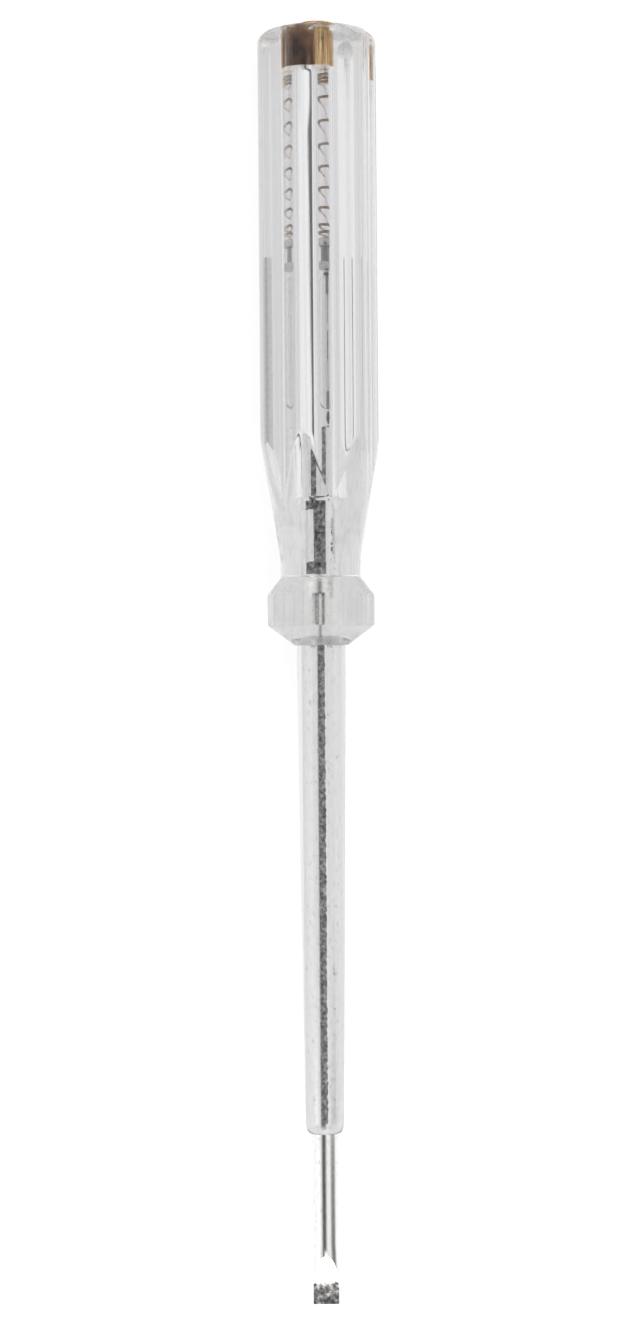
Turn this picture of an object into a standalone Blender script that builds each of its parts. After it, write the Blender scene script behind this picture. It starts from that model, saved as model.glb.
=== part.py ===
"""Voltage tester screwdriver, 190 mm long, lying on its side along Y.

A clear fluted handle is moulded over the rear of a flat-tipped blade. Its bore
holds, from the butt end, a brass contact cap, a coil spring, a resistor and a
neon lamp that presses on the blade's rear end. A sleeve insulates the shank.

Every sub-part is drawn upright on the tool's own axis, with the tip down and
the butt up, under one empty that lays the whole tool down: the tool's upright
axis then runs along +Y, tip at -Y and butt at +Y. All lengths are in metres.
"""

import math

import bmesh
import bpy
from mathutils import Vector

# Lengths along the tool
BLADE_REACH = 0.0978          # guard's front face to the blade's tip
HANDLE_LENGTH = 0.0909        # guard's front face to the butt face
CAP_PROUD = 0.0013            # contact cap standing out of the butt face

# Handle: fluted grip, tapered neck, guard
FLUTE_COUNT = 6
RIDGE_RADIUS = 0.00895        # axis to the crest of a ridge
RIDGE_ROUND = 0.00255         # radius of a ridge's own crest
CREST_TURN = math.radians(40) # from a crest's middle to where its flank begins
FLANK_ROUND = 0.0090          # radius of the nearly flat side of a ridge
FLUTE_ROUND = 0.0012          # radius at the bottom of a flute
BUTT_ROUND = 0.0020
NECK_TAPER = 0.0182           # length of the neck's cone
NECK_COLLAR = 0.0028          # length of its straight part at the guard
NECK_END_RADIUS = 0.0059
GUARD_SIDES = 12
GUARD_CORNER_RADIUS = 0.00797
GUARD_LENGTH = 0.00985
GUARD_BAND = 0.0044           # full-width part of the guard
GUARD_BACK_RADIUS = 0.0061
GUARD_BACK_SLOPE = 0.00245    # length of the guard's rear chamfer
GUARD_FRONT_RADIUS = 0.0040

# Inside of the handle
BORE_RADIUS = 0.00275
BORE_DEPTH = 0.0689           # from the butt face
MOUTH_CHAMFER = 0.0004
SLEEVE_SEAT_DEPTH = 0.0022    # the sleeve's seat in the guard

# Blade
BLADE_TURN = math.radians(-12.6)  # from the flute that faces up to its broad face
SHANK_RADIUS = 0.00195
SHANK_REAR_REACH = 0.0104     # shank standing up from the floor of the bore
SHANK_CHAMFER = 0.0004
WING_LENGTH = 0.0082
WING_SPAN = 0.0062            # over both wings
WING_THICKNESS = 0.0014
WING_START = 0.0016           # below the floor of the bore
SWAGE_THICKNESS = 0.0026      # the shank is pressed this thin between its wings
TIP_THICKNESS = 0.0008
TIP_LAND = 0.0030             # parallel end of the tip
TIP_GRIND = 0.0074            # from the tip to where the grinding starts

# Insulating sleeve
SLEEVE_REAR_RADIUS = 0.00364
SLEEVE_FRONT_RADIUS = 0.00285
SLEEVE_REACH = 0.0724         # in front of the guard
SLEEVE_NOSE = 0.0018          # rounded front end
SLEEVE_LIP = 0.0003           # what is left of the wall at the very end

# Contact cap
CAP_BODY = 0.0066             # length of its cylinder
CAP_EDGE = 0.0003
CAP_SLOT_WIDTH = 0.0009
CAP_SLOT_DEPTH = 0.0008
CAP_BOSS_RADIUS = 0.0013      # the spring's first turn sits round this boss
CAP_BOSS_LENGTH = 0.0016
THREAD_PITCH = 0.0008
THREAD_DEPTH = 0.00018
THREAD_TURNS = 4

# Spring
SPRING_RADIUS = 0.0021        # outside
SPRING_WIRE = 0.00045
SPRING_TURNS = 6.5            # open turns
SPRING_END_TURNS = 1          # close turns at each end
SPRING_END_PITCH = 0.0009
POINTS_PER_TURN = 10

# Resistor
RESISTOR_LENGTH = 0.0047      # over both end caps
RESISTOR_CAP_RADIUS = 0.00205
RESISTOR_CAP_LENGTH = 0.0012
RESISTOR_CAP_WALL = 0.00025

# Neon lamp
LAMP_RADIUS = 0.0020
LAMP_WALL = 0.00035
LAMP_LENGTH = 0.0196          # glass tube
LAMP_SHOULDER = 0.0012        # length of the drawn-in ends
LAMP_MOUTH_RADIUS = 0.0011    # where the glass is drawn in round its stem
STEM_LENGTH = 0.0026
LEAD_RADIUS = 0.0002
CONTACT_DISC_RADIUS = 0.0013
CONTACT_DISC_THICKNESS = 0.0004
CONTACT_PIP_RADIUS = 0.00105
CONTACT_PIP_LENGTH = 0.0020
ELECTRODE_RADIUS = 0.00045
ELECTRODE_LENGTH = 0.0042
SPARK_GAP = 0.0012
REAR_ELECTRODE_RADIUS = 0.0003

# Clearances
SEAT_GAP = 0.0003             # between ends that press on each other
FIT_GAP = 0.0001              # round pieces that are moulded or pressed in
THREAD_GAP = 0.0001           # round the contact cap
OVERRUN = 0.002               # how far every cut runs past the face it opens

ROUND_STEPS = 64
SMALL_STEPS = 28
ARC_POINTS = 5
FLUTE_POINTS = 3
MERGE = 0.00001

# Stations along the tool, measured on its own axis from its middle
OVERALL_LENGTH = BLADE_REACH + HANDLE_LENGTH + CAP_PROUD
TIP = -OVERALL_LENGTH / 2
GUARD_FRONT = TIP + BLADE_REACH
GUARD_BACK = GUARD_FRONT + GUARD_LENGTH
NECK_END = GUARD_BACK + NECK_COLLAR
NECK_START = NECK_END + NECK_TAPER
BUTT = GUARD_FRONT + HANDLE_LENGTH
BORE_FLOOR = BUTT - BORE_DEPTH
SHANK_REAR = BORE_FLOOR + SHANK_REAR_REACH
WING_TOP = BORE_FLOOR - WING_START
WING_MIDDLE = WING_TOP - WING_LENGTH / 2
SLEEVE_REAR = GUARD_FRONT + SLEEVE_SEAT_DEPTH - SEAT_GAP
SLEEVE_FRONT = GUARD_FRONT - SLEEVE_REACH
CAP_TOP = BUTT + CAP_PROUD
CAP_BOTTOM = CAP_TOP - CAP_BODY

CONTACT_PIP_BOTTOM = SHANK_REAR + SEAT_GAP
CONTACT_PIP_TOP = CONTACT_PIP_BOTTOM + CONTACT_PIP_LENGTH
LAMP_BOTTOM = CONTACT_PIP_TOP + SEAT_GAP
LAMP_TOP = LAMP_BOTTOM + LAMP_LENGTH
CONTACT_DISC_BOTTOM = LAMP_TOP + FIT_GAP
CONTACT_DISC_TOP = CONTACT_DISC_BOTTOM + CONTACT_DISC_THICKNESS
RESISTOR_BOTTOM = CONTACT_DISC_TOP + SEAT_GAP
RESISTOR_TOP = RESISTOR_BOTTOM + RESISTOR_LENGTH
SPRING_BOTTOM = RESISTOR_TOP + SEAT_GAP
SPRING_TOP = CAP_BOTTOM - SEAT_GAP

PITCH_ANGLE = 2 * math.pi / FLUTE_COUNT


def clear_scene():
    """Start from an empty file."""
    for old in list(bpy.data.objects):
        bpy.data.objects.remove(old, do_unlink=True)


def collection(name):
    """A new collection in the scene."""
    made = bpy.data.collections.new(name)
    bpy.context.scene.collection.children.link(made)
    return made


def material(name, colour, roughness, metallic=0.0, transmission=0.0):
    """One plain surface for one sub-part."""
    made = bpy.data.materials.new(name)
    made.use_nodes = True
    shader = made.node_tree.nodes["Principled BSDF"]
    shader.inputs["Base Color"].default_value = (*colour, 1.0)
    shader.inputs["Roughness"].default_value = roughness
    shader.inputs["Metallic"].default_value = metallic
    shader.inputs["Transmission Weight"].default_value = transmission
    made.diffuse_color = (*colour, 1.0)
    return made


def mesh_object(name, mesh, home):
    """An object for a mesh, on the tool's axis."""
    made = bpy.data.objects.new(name, mesh)
    home.objects.link(made)
    made.parent = AXIS
    return made


def finish(made, surface):
    """Give a sub-part its surface and smooth its round faces."""
    made.data.materials.append(surface)
    made.data.shade_smooth()
    made.data.set_sharp_from_angle(angle=math.radians(35))
    return made


def as_cutter(made):
    """Hide a shape that only cuts or trims others."""
    made.hide_render = True
    made.display_type = "WIRE"
    return made


def turned(name, profile, home, steps=ROUND_STEPS, closed=False):
    """Turn a profile of (radius, height) about the axis.

    The profile runs down the outer side, top to bottom. A closed one is a ring
    or a tube, and its last point joins its first.
    """
    outline = bmesh.new()
    points = [outline.verts.new((radius, 0, height)) for radius, height in profile]
    for first, second in zip(points, points[1:]):
        outline.edges.new((first, second))
    if closed:
        outline.edges.new((points[-1], points[0]))
    mesh = bpy.data.meshes.new(name)
    outline.to_mesh(mesh)
    outline.free()
    made = mesh_object(name, mesh, home)
    screw = made.modifiers.new("turn", "SCREW")
    screw.axis = "Z"
    screw.angle = 2 * math.pi
    screw.steps = steps
    screw.render_steps = steps
    screw.use_merge_vertices = True
    screw.merge_threshold = MERGE
    return made


def prism(name, corners, sweep, home):
    """Extrude a flat outline, given by its corners, along a sweep."""
    shape = bmesh.new()
    face = shape.faces.new([shape.verts.new(corner) for corner in corners])
    raised = bmesh.ops.extrude_face_region(shape, geom=[face])
    moved = [item for item in raised["geom"] if isinstance(item, bmesh.types.BMVert)]
    bmesh.ops.translate(shape, verts=moved, vec=sweep)
    bmesh.ops.recalc_face_normals(shape, faces=shape.faces)
    mesh = bpy.data.meshes.new(name)
    shape.to_mesh(mesh)
    shape.free()
    return mesh_object(name, mesh, home)


def bar(name, outline, bottom, top, home):
    """Extrude a closed outline of (x, y) points between two heights."""
    corners = [(x, y, bottom) for x, y in outline]
    return prism(name, corners, (0, 0, top - bottom), home)


def block(name, size, centre, home):
    """A plain box on the tool's axis."""
    shape = bmesh.new()
    bmesh.ops.create_cube(shape, size=1.0)
    bmesh.ops.scale(shape, vec=size, verts=shape.verts)
    bmesh.ops.translate(shape, vec=centre, verts=shape.verts)
    mesh = bpy.data.meshes.new(name)
    shape.to_mesh(mesh)
    shape.free()
    return mesh_object(name, mesh, home)


def combine(target, other, operation):
    """Cut, trim or join one solid with another."""
    step = target.modifiers.new(operation.lower(), "BOOLEAN")
    step.operation = operation
    step.solver = "EXACT"
    step.object = other


def arc(centre, radius, start, end, count=ARC_POINTS):
    """Points of an arc, in (radius, height) or (x, y)."""
    points = []
    for step in range(count + 1):
        angle = start + (end - start) * step / count
        x = centre[0] + radius * math.cos(angle)
        y = centre[1] + radius * math.sin(angle)
        points.append((x, y))
    return points


def half_ridge():
    """Section of a ridge from its crest down to the bottom of a flute, as (x, y).

    Its three arcs run into each other: the crest, the wide flank and the round of the
    flute, whose centre stands on the line halfway between two ridges. The crest has a
    narrow face in its middle, and so no edge there.
    """
    half_pitch = PITCH_ANGLE / 2
    crest = (RIDGE_RADIUS - RIDGE_ROUND, 0)
    back = FLANK_ROUND - RIDGE_ROUND
    flank = (crest[0] - back * math.cos(CREST_TURN), -back * math.sin(CREST_TURN))
    along = flank[0] * math.cos(half_pitch) + flank[1] * math.sin(half_pitch)
    aside = flank[0] * math.sin(half_pitch) - flank[1] * math.cos(half_pitch)
    reach = along + math.sqrt((FLANK_ROUND + FLUTE_ROUND) ** 2 - aside ** 2)
    flute = (reach * math.cos(half_pitch), reach * math.sin(half_pitch))
    flank_end = math.atan2(flute[1] - flank[1], flute[0] - flank[0])
    points = arc(crest, RIDGE_ROUND, CREST_TURN / (2 * ARC_POINTS), CREST_TURN)
    points += arc(flank, FLANK_ROUND, CREST_TURN, flank_end)[1:]
    points += arc(flute, FLUTE_ROUND, math.pi + flank_end, math.pi + half_pitch, FLUTE_POINTS)[1:]
    return points


def spun(points, angle):
    """Points turned about the axis."""
    cosine = math.cos(angle)
    sine = math.sin(angle)
    return [(x * cosine - y * sine, x * sine + y * cosine) for x, y in points]


def grip_outline():
    """Section of the grip: rounded ridges with flutes between them."""
    half = half_ridge()
    mirrored = [(x, -y) for x, y in half[::-1]]
    outline = []
    for count in range(FLUTE_COUNT):
        outline += spun(mirrored + half[:-1], PITCH_ANGLE * count)
    return outline


def lying_outline():
    """The grip's section as it lies: on two ridges, with a flute up and one down."""
    return spun(grip_outline(), math.pi / 2 + PITCH_ANGLE / 2)


def lay_down():
    """The empty on the tool's axis that carries every sub-part.

    The axis lies as high as the section's lowest ridges reach below it.
    """
    axis = bpy.data.objects.new("tool_axis", None)
    bpy.context.scene.collection.objects.link(axis)
    axis.location = (0, 0, max(y for x, y in lying_outline()))
    axis.rotation_euler = (-math.pi / 2, 0, 0)
    return axis


def polygon(sides, corner_radius, turn):
    """A regular outline with its corners on a circle."""
    step = 2 * math.pi / sides
    return [(corner_radius * math.cos(turn + step * count),
             corner_radius * math.sin(turn + step * count)) for count in range(sides)]


def grip_envelope(home):
    """The turned shape that rounds the butt and tapers the neck."""
    wide = RIDGE_RADIUS + OVERRUN
    edge = RIDGE_RADIUS - BUTT_ROUND
    slope = (RIDGE_RADIUS - NECK_END_RADIUS) / NECK_TAPER
    rounding = arc((edge, BUTT - BUTT_ROUND), BUTT_ROUND, math.pi / 2, 0)
    root = GUARD_FRONT + GUARD_LENGTH / 2
    profile = [(0, BUTT)] + rounding
    profile += [(wide, BUTT - BUTT_ROUND - OVERRUN), (wide, NECK_START + OVERRUN / slope)]
    profile += [(NECK_END_RADIUS, NECK_END), (NECK_END_RADIUS, root), (0, root)]
    return turned("grip_envelope", profile, home)


def guard_envelope(home):
    """The double cone that chamfers the guard in front and behind.

    Its two slopes run on outside the guard's corners until they meet.
    """
    back_slope = (GUARD_CORNER_RADIUS - GUARD_BACK_RADIUS) / GUARD_BACK_SLOPE
    front_length = GUARD_LENGTH - GUARD_BAND - GUARD_BACK_SLOPE
    front_slope = (GUARD_CORNER_RADIUS - GUARD_FRONT_RADIUS) / front_length
    beyond = GUARD_BAND / (1 / back_slope + 1 / front_slope)
    meeting = GUARD_BACK - GUARD_BACK_SLOPE - beyond / back_slope
    profile = [
        (0, GUARD_BACK),
        (GUARD_BACK_RADIUS, GUARD_BACK),
        (GUARD_CORNER_RADIUS + beyond, meeting),
        (GUARD_FRONT_RADIUS, GUARD_FRONT),
        (0, GUARD_FRONT),
    ]
    return turned("guard_envelope", profile, home)


def handle_inside(home):
    """Everything bored out of the handle, as one turned cutter."""
    chamfered = BORE_RADIUS + MOUTH_CHAMFER
    hole = SHANK_RADIUS + FIT_GAP
    seat = SLEEVE_REAR_RADIUS + FIT_GAP
    seat_floor = GUARD_FRONT + SLEEVE_SEAT_DEPTH
    profile = [
        (0, BUTT + OVERRUN),
        (chamfered, BUTT + OVERRUN),
        (chamfered, BUTT),
        (BORE_RADIUS, BUTT - MOUTH_CHAMFER),
        (BORE_RADIUS, BORE_FLOOR),
        (hole, BORE_FLOOR),
        (hole, seat_floor),
        (seat, seat_floor),
        (seat, GUARD_FRONT - OVERRUN),
        (0, GUARD_FRONT - OVERRUN),
    ]
    return turned("handle_inside", profile, home)


def with_blade(made):
    """Turn a shape about the tool's axis to the blade's own direction."""
    made.rotation_euler.z = BLADE_TURN
    return made


def wing_plate(name, gap, home):
    """The two wings as one plate across the shank, or the pocket they fill."""
    size = (WING_THICKNESS + 2 * gap, WING_SPAN + 2 * gap, WING_LENGTH + 2 * gap)
    return with_blade(block(name, size, (0, 0, WING_MIDDLE), home))


def make_handle(parts, cutters):
    """Grip, neck and guard in one moulding, bored from the butt."""
    handle = bar("handle", lying_outline(), GUARD_FRONT, BUTT + OVERRUN, parts)
    combine(handle, as_cutter(grip_envelope(cutters)), "INTERSECT")
    turn = math.pi / 2 + math.pi / GUARD_SIDES
    sides = polygon(GUARD_SIDES, GUARD_CORNER_RADIUS, turn)
    guard = bar("guard_bar", sides, GUARD_FRONT - OVERRUN, GUARD_BACK + OVERRUN, cutters)
    combine(guard, as_cutter(guard_envelope(cutters)), "INTERSECT")
    combine(handle, as_cutter(guard), "UNION")
    combine(handle, as_cutter(handle_inside(cutters)), "DIFFERENCE")
    combine(handle, as_cutter(wing_plate("wing_pocket", FIT_GAP, cutters)), "DIFFERENCE")
    return finish(handle, material("clear_acetate", (0.86, 0.88, 0.88), 0.08, 0.0, 1.0))


def side_cut(name, side, home):
    """The die that presses one side of the shank flat between the wings."""
    width = 2 * SHANK_RADIUS
    centre = side * (SWAGE_THICKNESS / 2 + width / 2)
    size = (width, 2 * width, WING_LENGTH)
    return with_blade(block(name, size, (centre, 0, WING_MIDDLE), home))


def grind_cut(name, side, home):
    """What the wheel takes off one side of the tip."""
    land = TIP_THICKNESS / 2
    wide = SHANK_RADIUS + OVERRUN
    slope = (SHANK_RADIUS - land) / (TIP_GRIND - TIP_LAND)
    bottom = TIP - OVERRUN
    corners = [
        (-wide, side * land, bottom),
        (-wide, side * wide, bottom),
        (-wide, side * wide, TIP + TIP_GRIND + OVERRUN / slope),
        (-wide, side * land, TIP + TIP_LAND),
    ]
    return with_blade(prism(name, corners, (2 * wide, 0, 0), home))


def make_blade(parts, cutters):
    """Round shank with a ground tip, two swaged wings and a plain rear end."""
    rim = SHANK_RADIUS - SHANK_CHAMFER
    profile = [
        (0, SHANK_REAR),
        (rim, SHANK_REAR),
        (SHANK_RADIUS, SHANK_REAR - SHANK_CHAMFER),
        (SHANK_RADIUS, TIP),
        (0, TIP),
    ]
    blade = with_blade(turned("blade", profile, parts))
    for name, side in (("grind_up", 1), ("grind_down", -1)):
        combine(blade, as_cutter(grind_cut(name, side, cutters)), "DIFFERENCE")
    for name, side in (("press_left", -1), ("press_right", 1)):
        combine(blade, as_cutter(side_cut(name, side, cutters)), "DIFFERENCE")
    combine(blade, as_cutter(wing_plate("wings", 0, cutters)), "UNION")
    return finish(blade, material("plated_steel", (0.62, 0.63, 0.64), 0.18, 1.0))


def make_sleeve(parts):
    """Tapered insulating tube, rounded in front, seated in the guard."""
    inner = SHANK_RADIUS + FIT_GAP
    lip = inner + SLEEVE_LIP
    nose_top = SLEEVE_FRONT + SLEEVE_NOSE
    nose = []
    for step in range(ARC_POINTS + 1):
        angle = math.pi / 2 * step / ARC_POINTS
        radius = lip + (SLEEVE_FRONT_RADIUS - lip) * math.cos(angle)
        nose.append((radius, nose_top - SLEEVE_NOSE * math.sin(angle)))
    profile = [(SLEEVE_REAR_RADIUS, SLEEVE_REAR), (SLEEVE_REAR_RADIUS, GUARD_FRONT)] + nose
    profile += [(inner, SLEEVE_FRONT), (inner, SLEEVE_REAR)]
    sleeve = turned("insulating_sleeve", profile, parts, closed=True)
    return finish(sleeve, material("soft_pvc", (0.80, 0.81, 0.80), 0.3, 0.0, 0.7))


def make_cap(parts, cutters):
    """Brass plug that the finger touches: slotted face, thread, spring boss."""
    radius = BORE_RADIUS - THREAD_GAP
    root = radius - THREAD_DEPTH
    profile = [(0, CAP_TOP), (radius - CAP_EDGE, CAP_TOP), (radius, CAP_TOP - CAP_EDGE)]
    first = CAP_BOTTOM + CAP_EDGE + THREAD_TURNS * THREAD_PITCH
    for count in range(THREAD_TURNS):
        crest = first - THREAD_PITCH * count
        profile.append((radius, crest))
        profile.append((root, crest - THREAD_PITCH / 2))
    profile += [(radius, CAP_BOTTOM + CAP_EDGE), (root, CAP_BOTTOM)]
    boss_end = CAP_BOTTOM - CAP_BOSS_LENGTH
    rim = CAP_BOSS_RADIUS - CAP_EDGE
    profile += [(CAP_BOSS_RADIUS, CAP_BOTTOM), (CAP_BOSS_RADIUS, boss_end + CAP_EDGE)]
    profile += [(rim, boss_end), (0, boss_end)]
    cap = turned("contact_cap", profile, parts)
    size = (2 * BORE_RADIUS + OVERRUN, CAP_SLOT_WIDTH, CAP_SLOT_DEPTH + OVERRUN)
    middle = CAP_TOP - CAP_SLOT_DEPTH + size[2] / 2
    slot = block("cap_slot", size, (0, 0, middle), cutters)
    combine(cap, as_cutter(slot), "DIFFERENCE")
    return finish(cap, material("brass", (0.72, 0.50, 0.20), 0.25, 1.0))


def spring_path():
    """Points along the wire, from the resistor to the contact cap."""
    radius = SPRING_RADIUS - SPRING_WIRE / 2
    bottom = SPRING_BOTTOM + SPRING_WIRE / 2
    top = SPRING_TOP - SPRING_WIRE / 2
    end_height = SPRING_END_TURNS * SPRING_END_PITCH
    pitch = (top - bottom - 2 * end_height) / SPRING_TURNS
    turns = SPRING_TURNS + 2 * SPRING_END_TURNS
    count = round(turns * POINTS_PER_TURN)
    points = []
    for step in range(count + 1):
        turn = turns * step / count
        low = min(turn, SPRING_END_TURNS) * SPRING_END_PITCH
        high = max(turn - SPRING_END_TURNS - SPRING_TURNS, 0) * SPRING_END_PITCH
        open_turns = min(max(turn - SPRING_END_TURNS, 0), SPRING_TURNS)
        height = bottom + low + open_turns * pitch + high
        angle = 2 * math.pi * turn
        points.append(Vector((radius * math.cos(angle), radius * math.sin(angle), height)))
    return points


def least_gap(points):
    """The least gap between turns of the wire, measured between its points."""
    apart = POINTS_PER_TURN // 2
    nearest = min(
        (first - second).length
        for index, first in enumerate(points)
        for second in points[index + apart:]
    )
    return nearest - SPRING_WIRE


def make_spring(parts):
    """Compression spring between the contact cap and the resistor."""
    points = spring_path()
    print("spring: least gap to itself %.2f mm" % (least_gap(points) * 1000))
    wire = bpy.data.curves.new("spring", "CURVE")
    wire.dimensions = "3D"
    wire.bevel_depth = SPRING_WIRE / 2
    wire.bevel_resolution = 1
    wire.use_fill_caps = True
    line = wire.splines.new("POLY")
    line.points.add(len(points) - 1)
    for place, point in zip(line.points, points):
        place.co = (*point, 1)
    wire.materials.append(material("spring_wire", (0.45, 0.34, 0.22), 0.3, 1.0))
    made = bpy.data.objects.new("spring", wire)
    parts.objects.link(made)
    made.parent = AXIS
    return made


def make_resistor(parts):
    """A short rod between two pressed cups."""
    inner = RESISTOR_CAP_RADIUS - RESISTOR_CAP_WALL
    rod = inner - FIT_GAP
    rod_top = RESISTOR_TOP - RESISTOR_CAP_WALL - FIT_GAP
    rod_bottom = RESISTOR_BOTTOM + RESISTOR_CAP_WALL + FIT_GAP
    profile = [(0, rod_top), (rod, rod_top), (rod, rod_bottom), (0, rod_bottom)]
    body = turned("resistor_body", profile, parts, SMALL_STEPS)
    finish(body, material("resistor_lacquer", (0.16, 0.15, 0.16), 0.35))
    tin = material("tinned_cup", (0.70, 0.70, 0.70), 0.22, 1.0)
    for name, end, side in (("rear", RESISTOR_TOP, 1), ("front", RESISTOR_BOTTOM, -1)):
        rim = end - side * RESISTOR_CAP_LENGTH
        floor = end - side * RESISTOR_CAP_WALL
        profile = [(0, end), (RESISTOR_CAP_RADIUS, end), (RESISTOR_CAP_RADIUS, rim)]
        profile += [(inner, rim), (inner, floor), (0, floor)]
        if side < 0:
            profile.reverse()
        cup = turned("resistor_cup_" + name, profile, parts, SMALL_STEPS)
        finish(cup, tin)


def make_lamp_glass(parts):
    """Glass tube, drawn in at both ends round its stems."""
    mouth = LAMP_MOUTH_RADIUS
    inner = LAMP_RADIUS - LAMP_WALL
    outer_top = shoulder(mouth + LAMP_WALL / 2, LAMP_RADIUS, LAMP_TOP, -1)
    outer_bottom = shoulder(mouth + LAMP_WALL / 2, LAMP_RADIUS, LAMP_BOTTOM, 1)
    inner_top = shoulder(mouth, inner, LAMP_TOP, -1)
    inner_bottom = shoulder(mouth, inner, LAMP_BOTTOM, 1)
    profile = outer_top + outer_bottom[::-1] + inner_bottom + inner_top[::-1]
    glass = turned("lamp_glass", profile, parts, SMALL_STEPS, closed=True)
    return finish(glass, material("lamp_glass", (0.9, 0.9, 0.9), 0.03, 0.0, 1.0))


def shoulder(mouth, full, end, side):
    """A quarter-round shoulder from a mouth at an end to the full radius."""
    points = []
    for step in range(ARC_POINTS + 1):
        angle = math.pi / 2 * step / ARC_POINTS
        radius = mouth + (full - mouth) * math.sin(angle)
        height = end + side * LAMP_SHOULDER * (1 - math.cos(angle))
        points.append((radius, height))
    return points


def make_stem(name, bottom, surface, parts):
    """Glass bead that seals one end of the tube round its lead."""
    hole = LEAD_RADIUS + FIT_GAP
    outer = LAMP_MOUTH_RADIUS - FIT_GAP
    top = bottom + STEM_LENGTH
    profile = [(outer, top), (outer, bottom), (hole, bottom), (hole, top)]
    stem = turned(name, profile, parts, SMALL_STEPS, closed=True)
    return finish(stem, surface)


def make_lamp_inside(parts):
    """Two stems, and in each a lead with its electrode."""
    bead = material("bead_glass", (0.75, 0.76, 0.74), 0.15, 0.0, 0.6)
    make_stem("lamp_stem_rear", LAMP_TOP - STEM_LENGTH, bead, parts)
    make_stem("lamp_stem_front", LAMP_BOTTOM, bead, parts)
    nickel = material("nickel", (0.45, 0.44, 0.42), 0.3, 1.0)
    rear_end = LAMP_TOP - STEM_LENGTH - FIT_GAP
    rear_tip = rear_end - ELECTRODE_LENGTH
    profile = [
        (0, LAMP_TOP),
        (LEAD_RADIUS, LAMP_TOP),
        (LEAD_RADIUS, rear_end),
        (REAR_ELECTRODE_RADIUS, rear_end),
        (REAR_ELECTRODE_RADIUS, rear_tip),
        (0, rear_tip),
    ]
    finish(turned("electrode_rear", profile, parts, SMALL_STEPS), nickel)
    front_tip = rear_tip - SPARK_GAP
    front_end = front_tip - ELECTRODE_LENGTH
    profile = [
        (0, front_tip),
        (ELECTRODE_RADIUS, front_tip),
        (ELECTRODE_RADIUS, front_end),
        (LEAD_RADIUS, front_end),
        (LEAD_RADIUS, LAMP_BOTTOM),
        (0, LAMP_BOTTOM),
    ]
    finish(turned("electrode_front", profile, parts, SMALL_STEPS), nickel)


def make_lamp_contacts(parts):
    """Disc behind the lamp and solder pip in front of it."""
    solder = material("solder", (0.30, 0.29, 0.28), 0.35, 1.0)
    profile = [
        (0, CONTACT_DISC_TOP),
        (CONTACT_DISC_RADIUS, CONTACT_DISC_TOP),
        (CONTACT_DISC_RADIUS, CONTACT_DISC_BOTTOM),
        (0, CONTACT_DISC_BOTTOM),
    ]
    finish(turned("lamp_contact_rear", profile, parts, SMALL_STEPS), solder)
    half = CONTACT_PIP_LENGTH / 2
    middle = CONTACT_PIP_BOTTOM + half
    profile = []
    for step in range(2 * ARC_POINTS + 1):
        angle = math.pi * step / (2 * ARC_POINTS)
        profile.append((CONTACT_PIP_RADIUS * math.sin(angle), middle + half * math.cos(angle)))
    profile[0] = (0, CONTACT_PIP_TOP)
    profile[-1] = (0, CONTACT_PIP_BOTTOM)
    finish(turned("lamp_contact_front", profile, parts, SMALL_STEPS), solder)


clear_scene()
AXIS = lay_down()
PARTS = collection("voltage_tester")
CUTTERS = collection("cutters")
make_handle(PARTS, CUTTERS)
make_blade(PARTS, CUTTERS)
make_sleeve(PARTS)
make_cap(PARTS, CUTTERS)
make_spring(PARTS)
make_resistor(PARTS)
make_lamp_glass(PARTS)
make_lamp_inside(PARTS)
make_lamp_contacts(PARTS)
print("overall length %.1f mm, axis %.2f mm above the ground"
      % (OVERALL_LENGTH * 1000, AXIS.location.z * 1000))
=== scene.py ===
# %% [markdown]
# # Voltage tester screwdriver
# The tool lies on a white table. Its grip is a bar of clear cellulose plastic, moulded
# over the rear end of a plated blade. Inside its bore stand a neon lamp, a resistor
# and a spring under a brass cap. Nearly all that one sees is seen through the plastic,
# so the looks come from true refraction: clean surfaces, real wall positions, and
# a studio that is bright round the edges and darker overhead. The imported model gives
# the places: the box of the cap tells how high the tool's axis lies.

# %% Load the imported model
import math

import bpy
import numpy as np
from mathutils import Matrix, Vector


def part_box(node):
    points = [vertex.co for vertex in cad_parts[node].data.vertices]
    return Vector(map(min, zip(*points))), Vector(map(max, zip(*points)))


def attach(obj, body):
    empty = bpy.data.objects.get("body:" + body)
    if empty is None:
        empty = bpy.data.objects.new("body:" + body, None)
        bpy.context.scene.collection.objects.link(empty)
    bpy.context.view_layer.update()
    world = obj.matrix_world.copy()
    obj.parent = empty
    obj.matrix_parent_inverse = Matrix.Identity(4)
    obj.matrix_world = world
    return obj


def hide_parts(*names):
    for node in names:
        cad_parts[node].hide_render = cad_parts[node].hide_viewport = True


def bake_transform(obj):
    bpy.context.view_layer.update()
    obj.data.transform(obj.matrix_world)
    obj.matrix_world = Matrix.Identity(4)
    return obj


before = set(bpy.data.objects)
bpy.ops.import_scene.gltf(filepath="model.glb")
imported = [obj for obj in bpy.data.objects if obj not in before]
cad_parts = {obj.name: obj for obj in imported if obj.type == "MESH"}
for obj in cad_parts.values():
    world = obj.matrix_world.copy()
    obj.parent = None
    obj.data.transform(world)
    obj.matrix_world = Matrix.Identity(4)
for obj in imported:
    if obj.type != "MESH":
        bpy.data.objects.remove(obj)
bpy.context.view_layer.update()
cap_low, cap_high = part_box("contact_cap")
MM = 0.001
AXIS = (cap_low.z + cap_high.z) / 2
print("nodes:", len(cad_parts), "axis height: %.3f mm" % (AXIS / MM))

# %% [markdown]
# ## Sizes
# Stations run along Y in millimetres, from the middle of the tool: the tip is at -95
# and the cap's face at +95. An angle round the tool is measured from straight up
# towards +X. The sizes are those of the solids, but for the cap's lower end and the
# spring's rear end. These stand 0.85 mm nearer the tip, where the photograph has them
# once the shift that the plastic gives is taken off. Pieces that touch on the real
# tool overlap by a trace, because a film of air would shine like a mirror.

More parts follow.
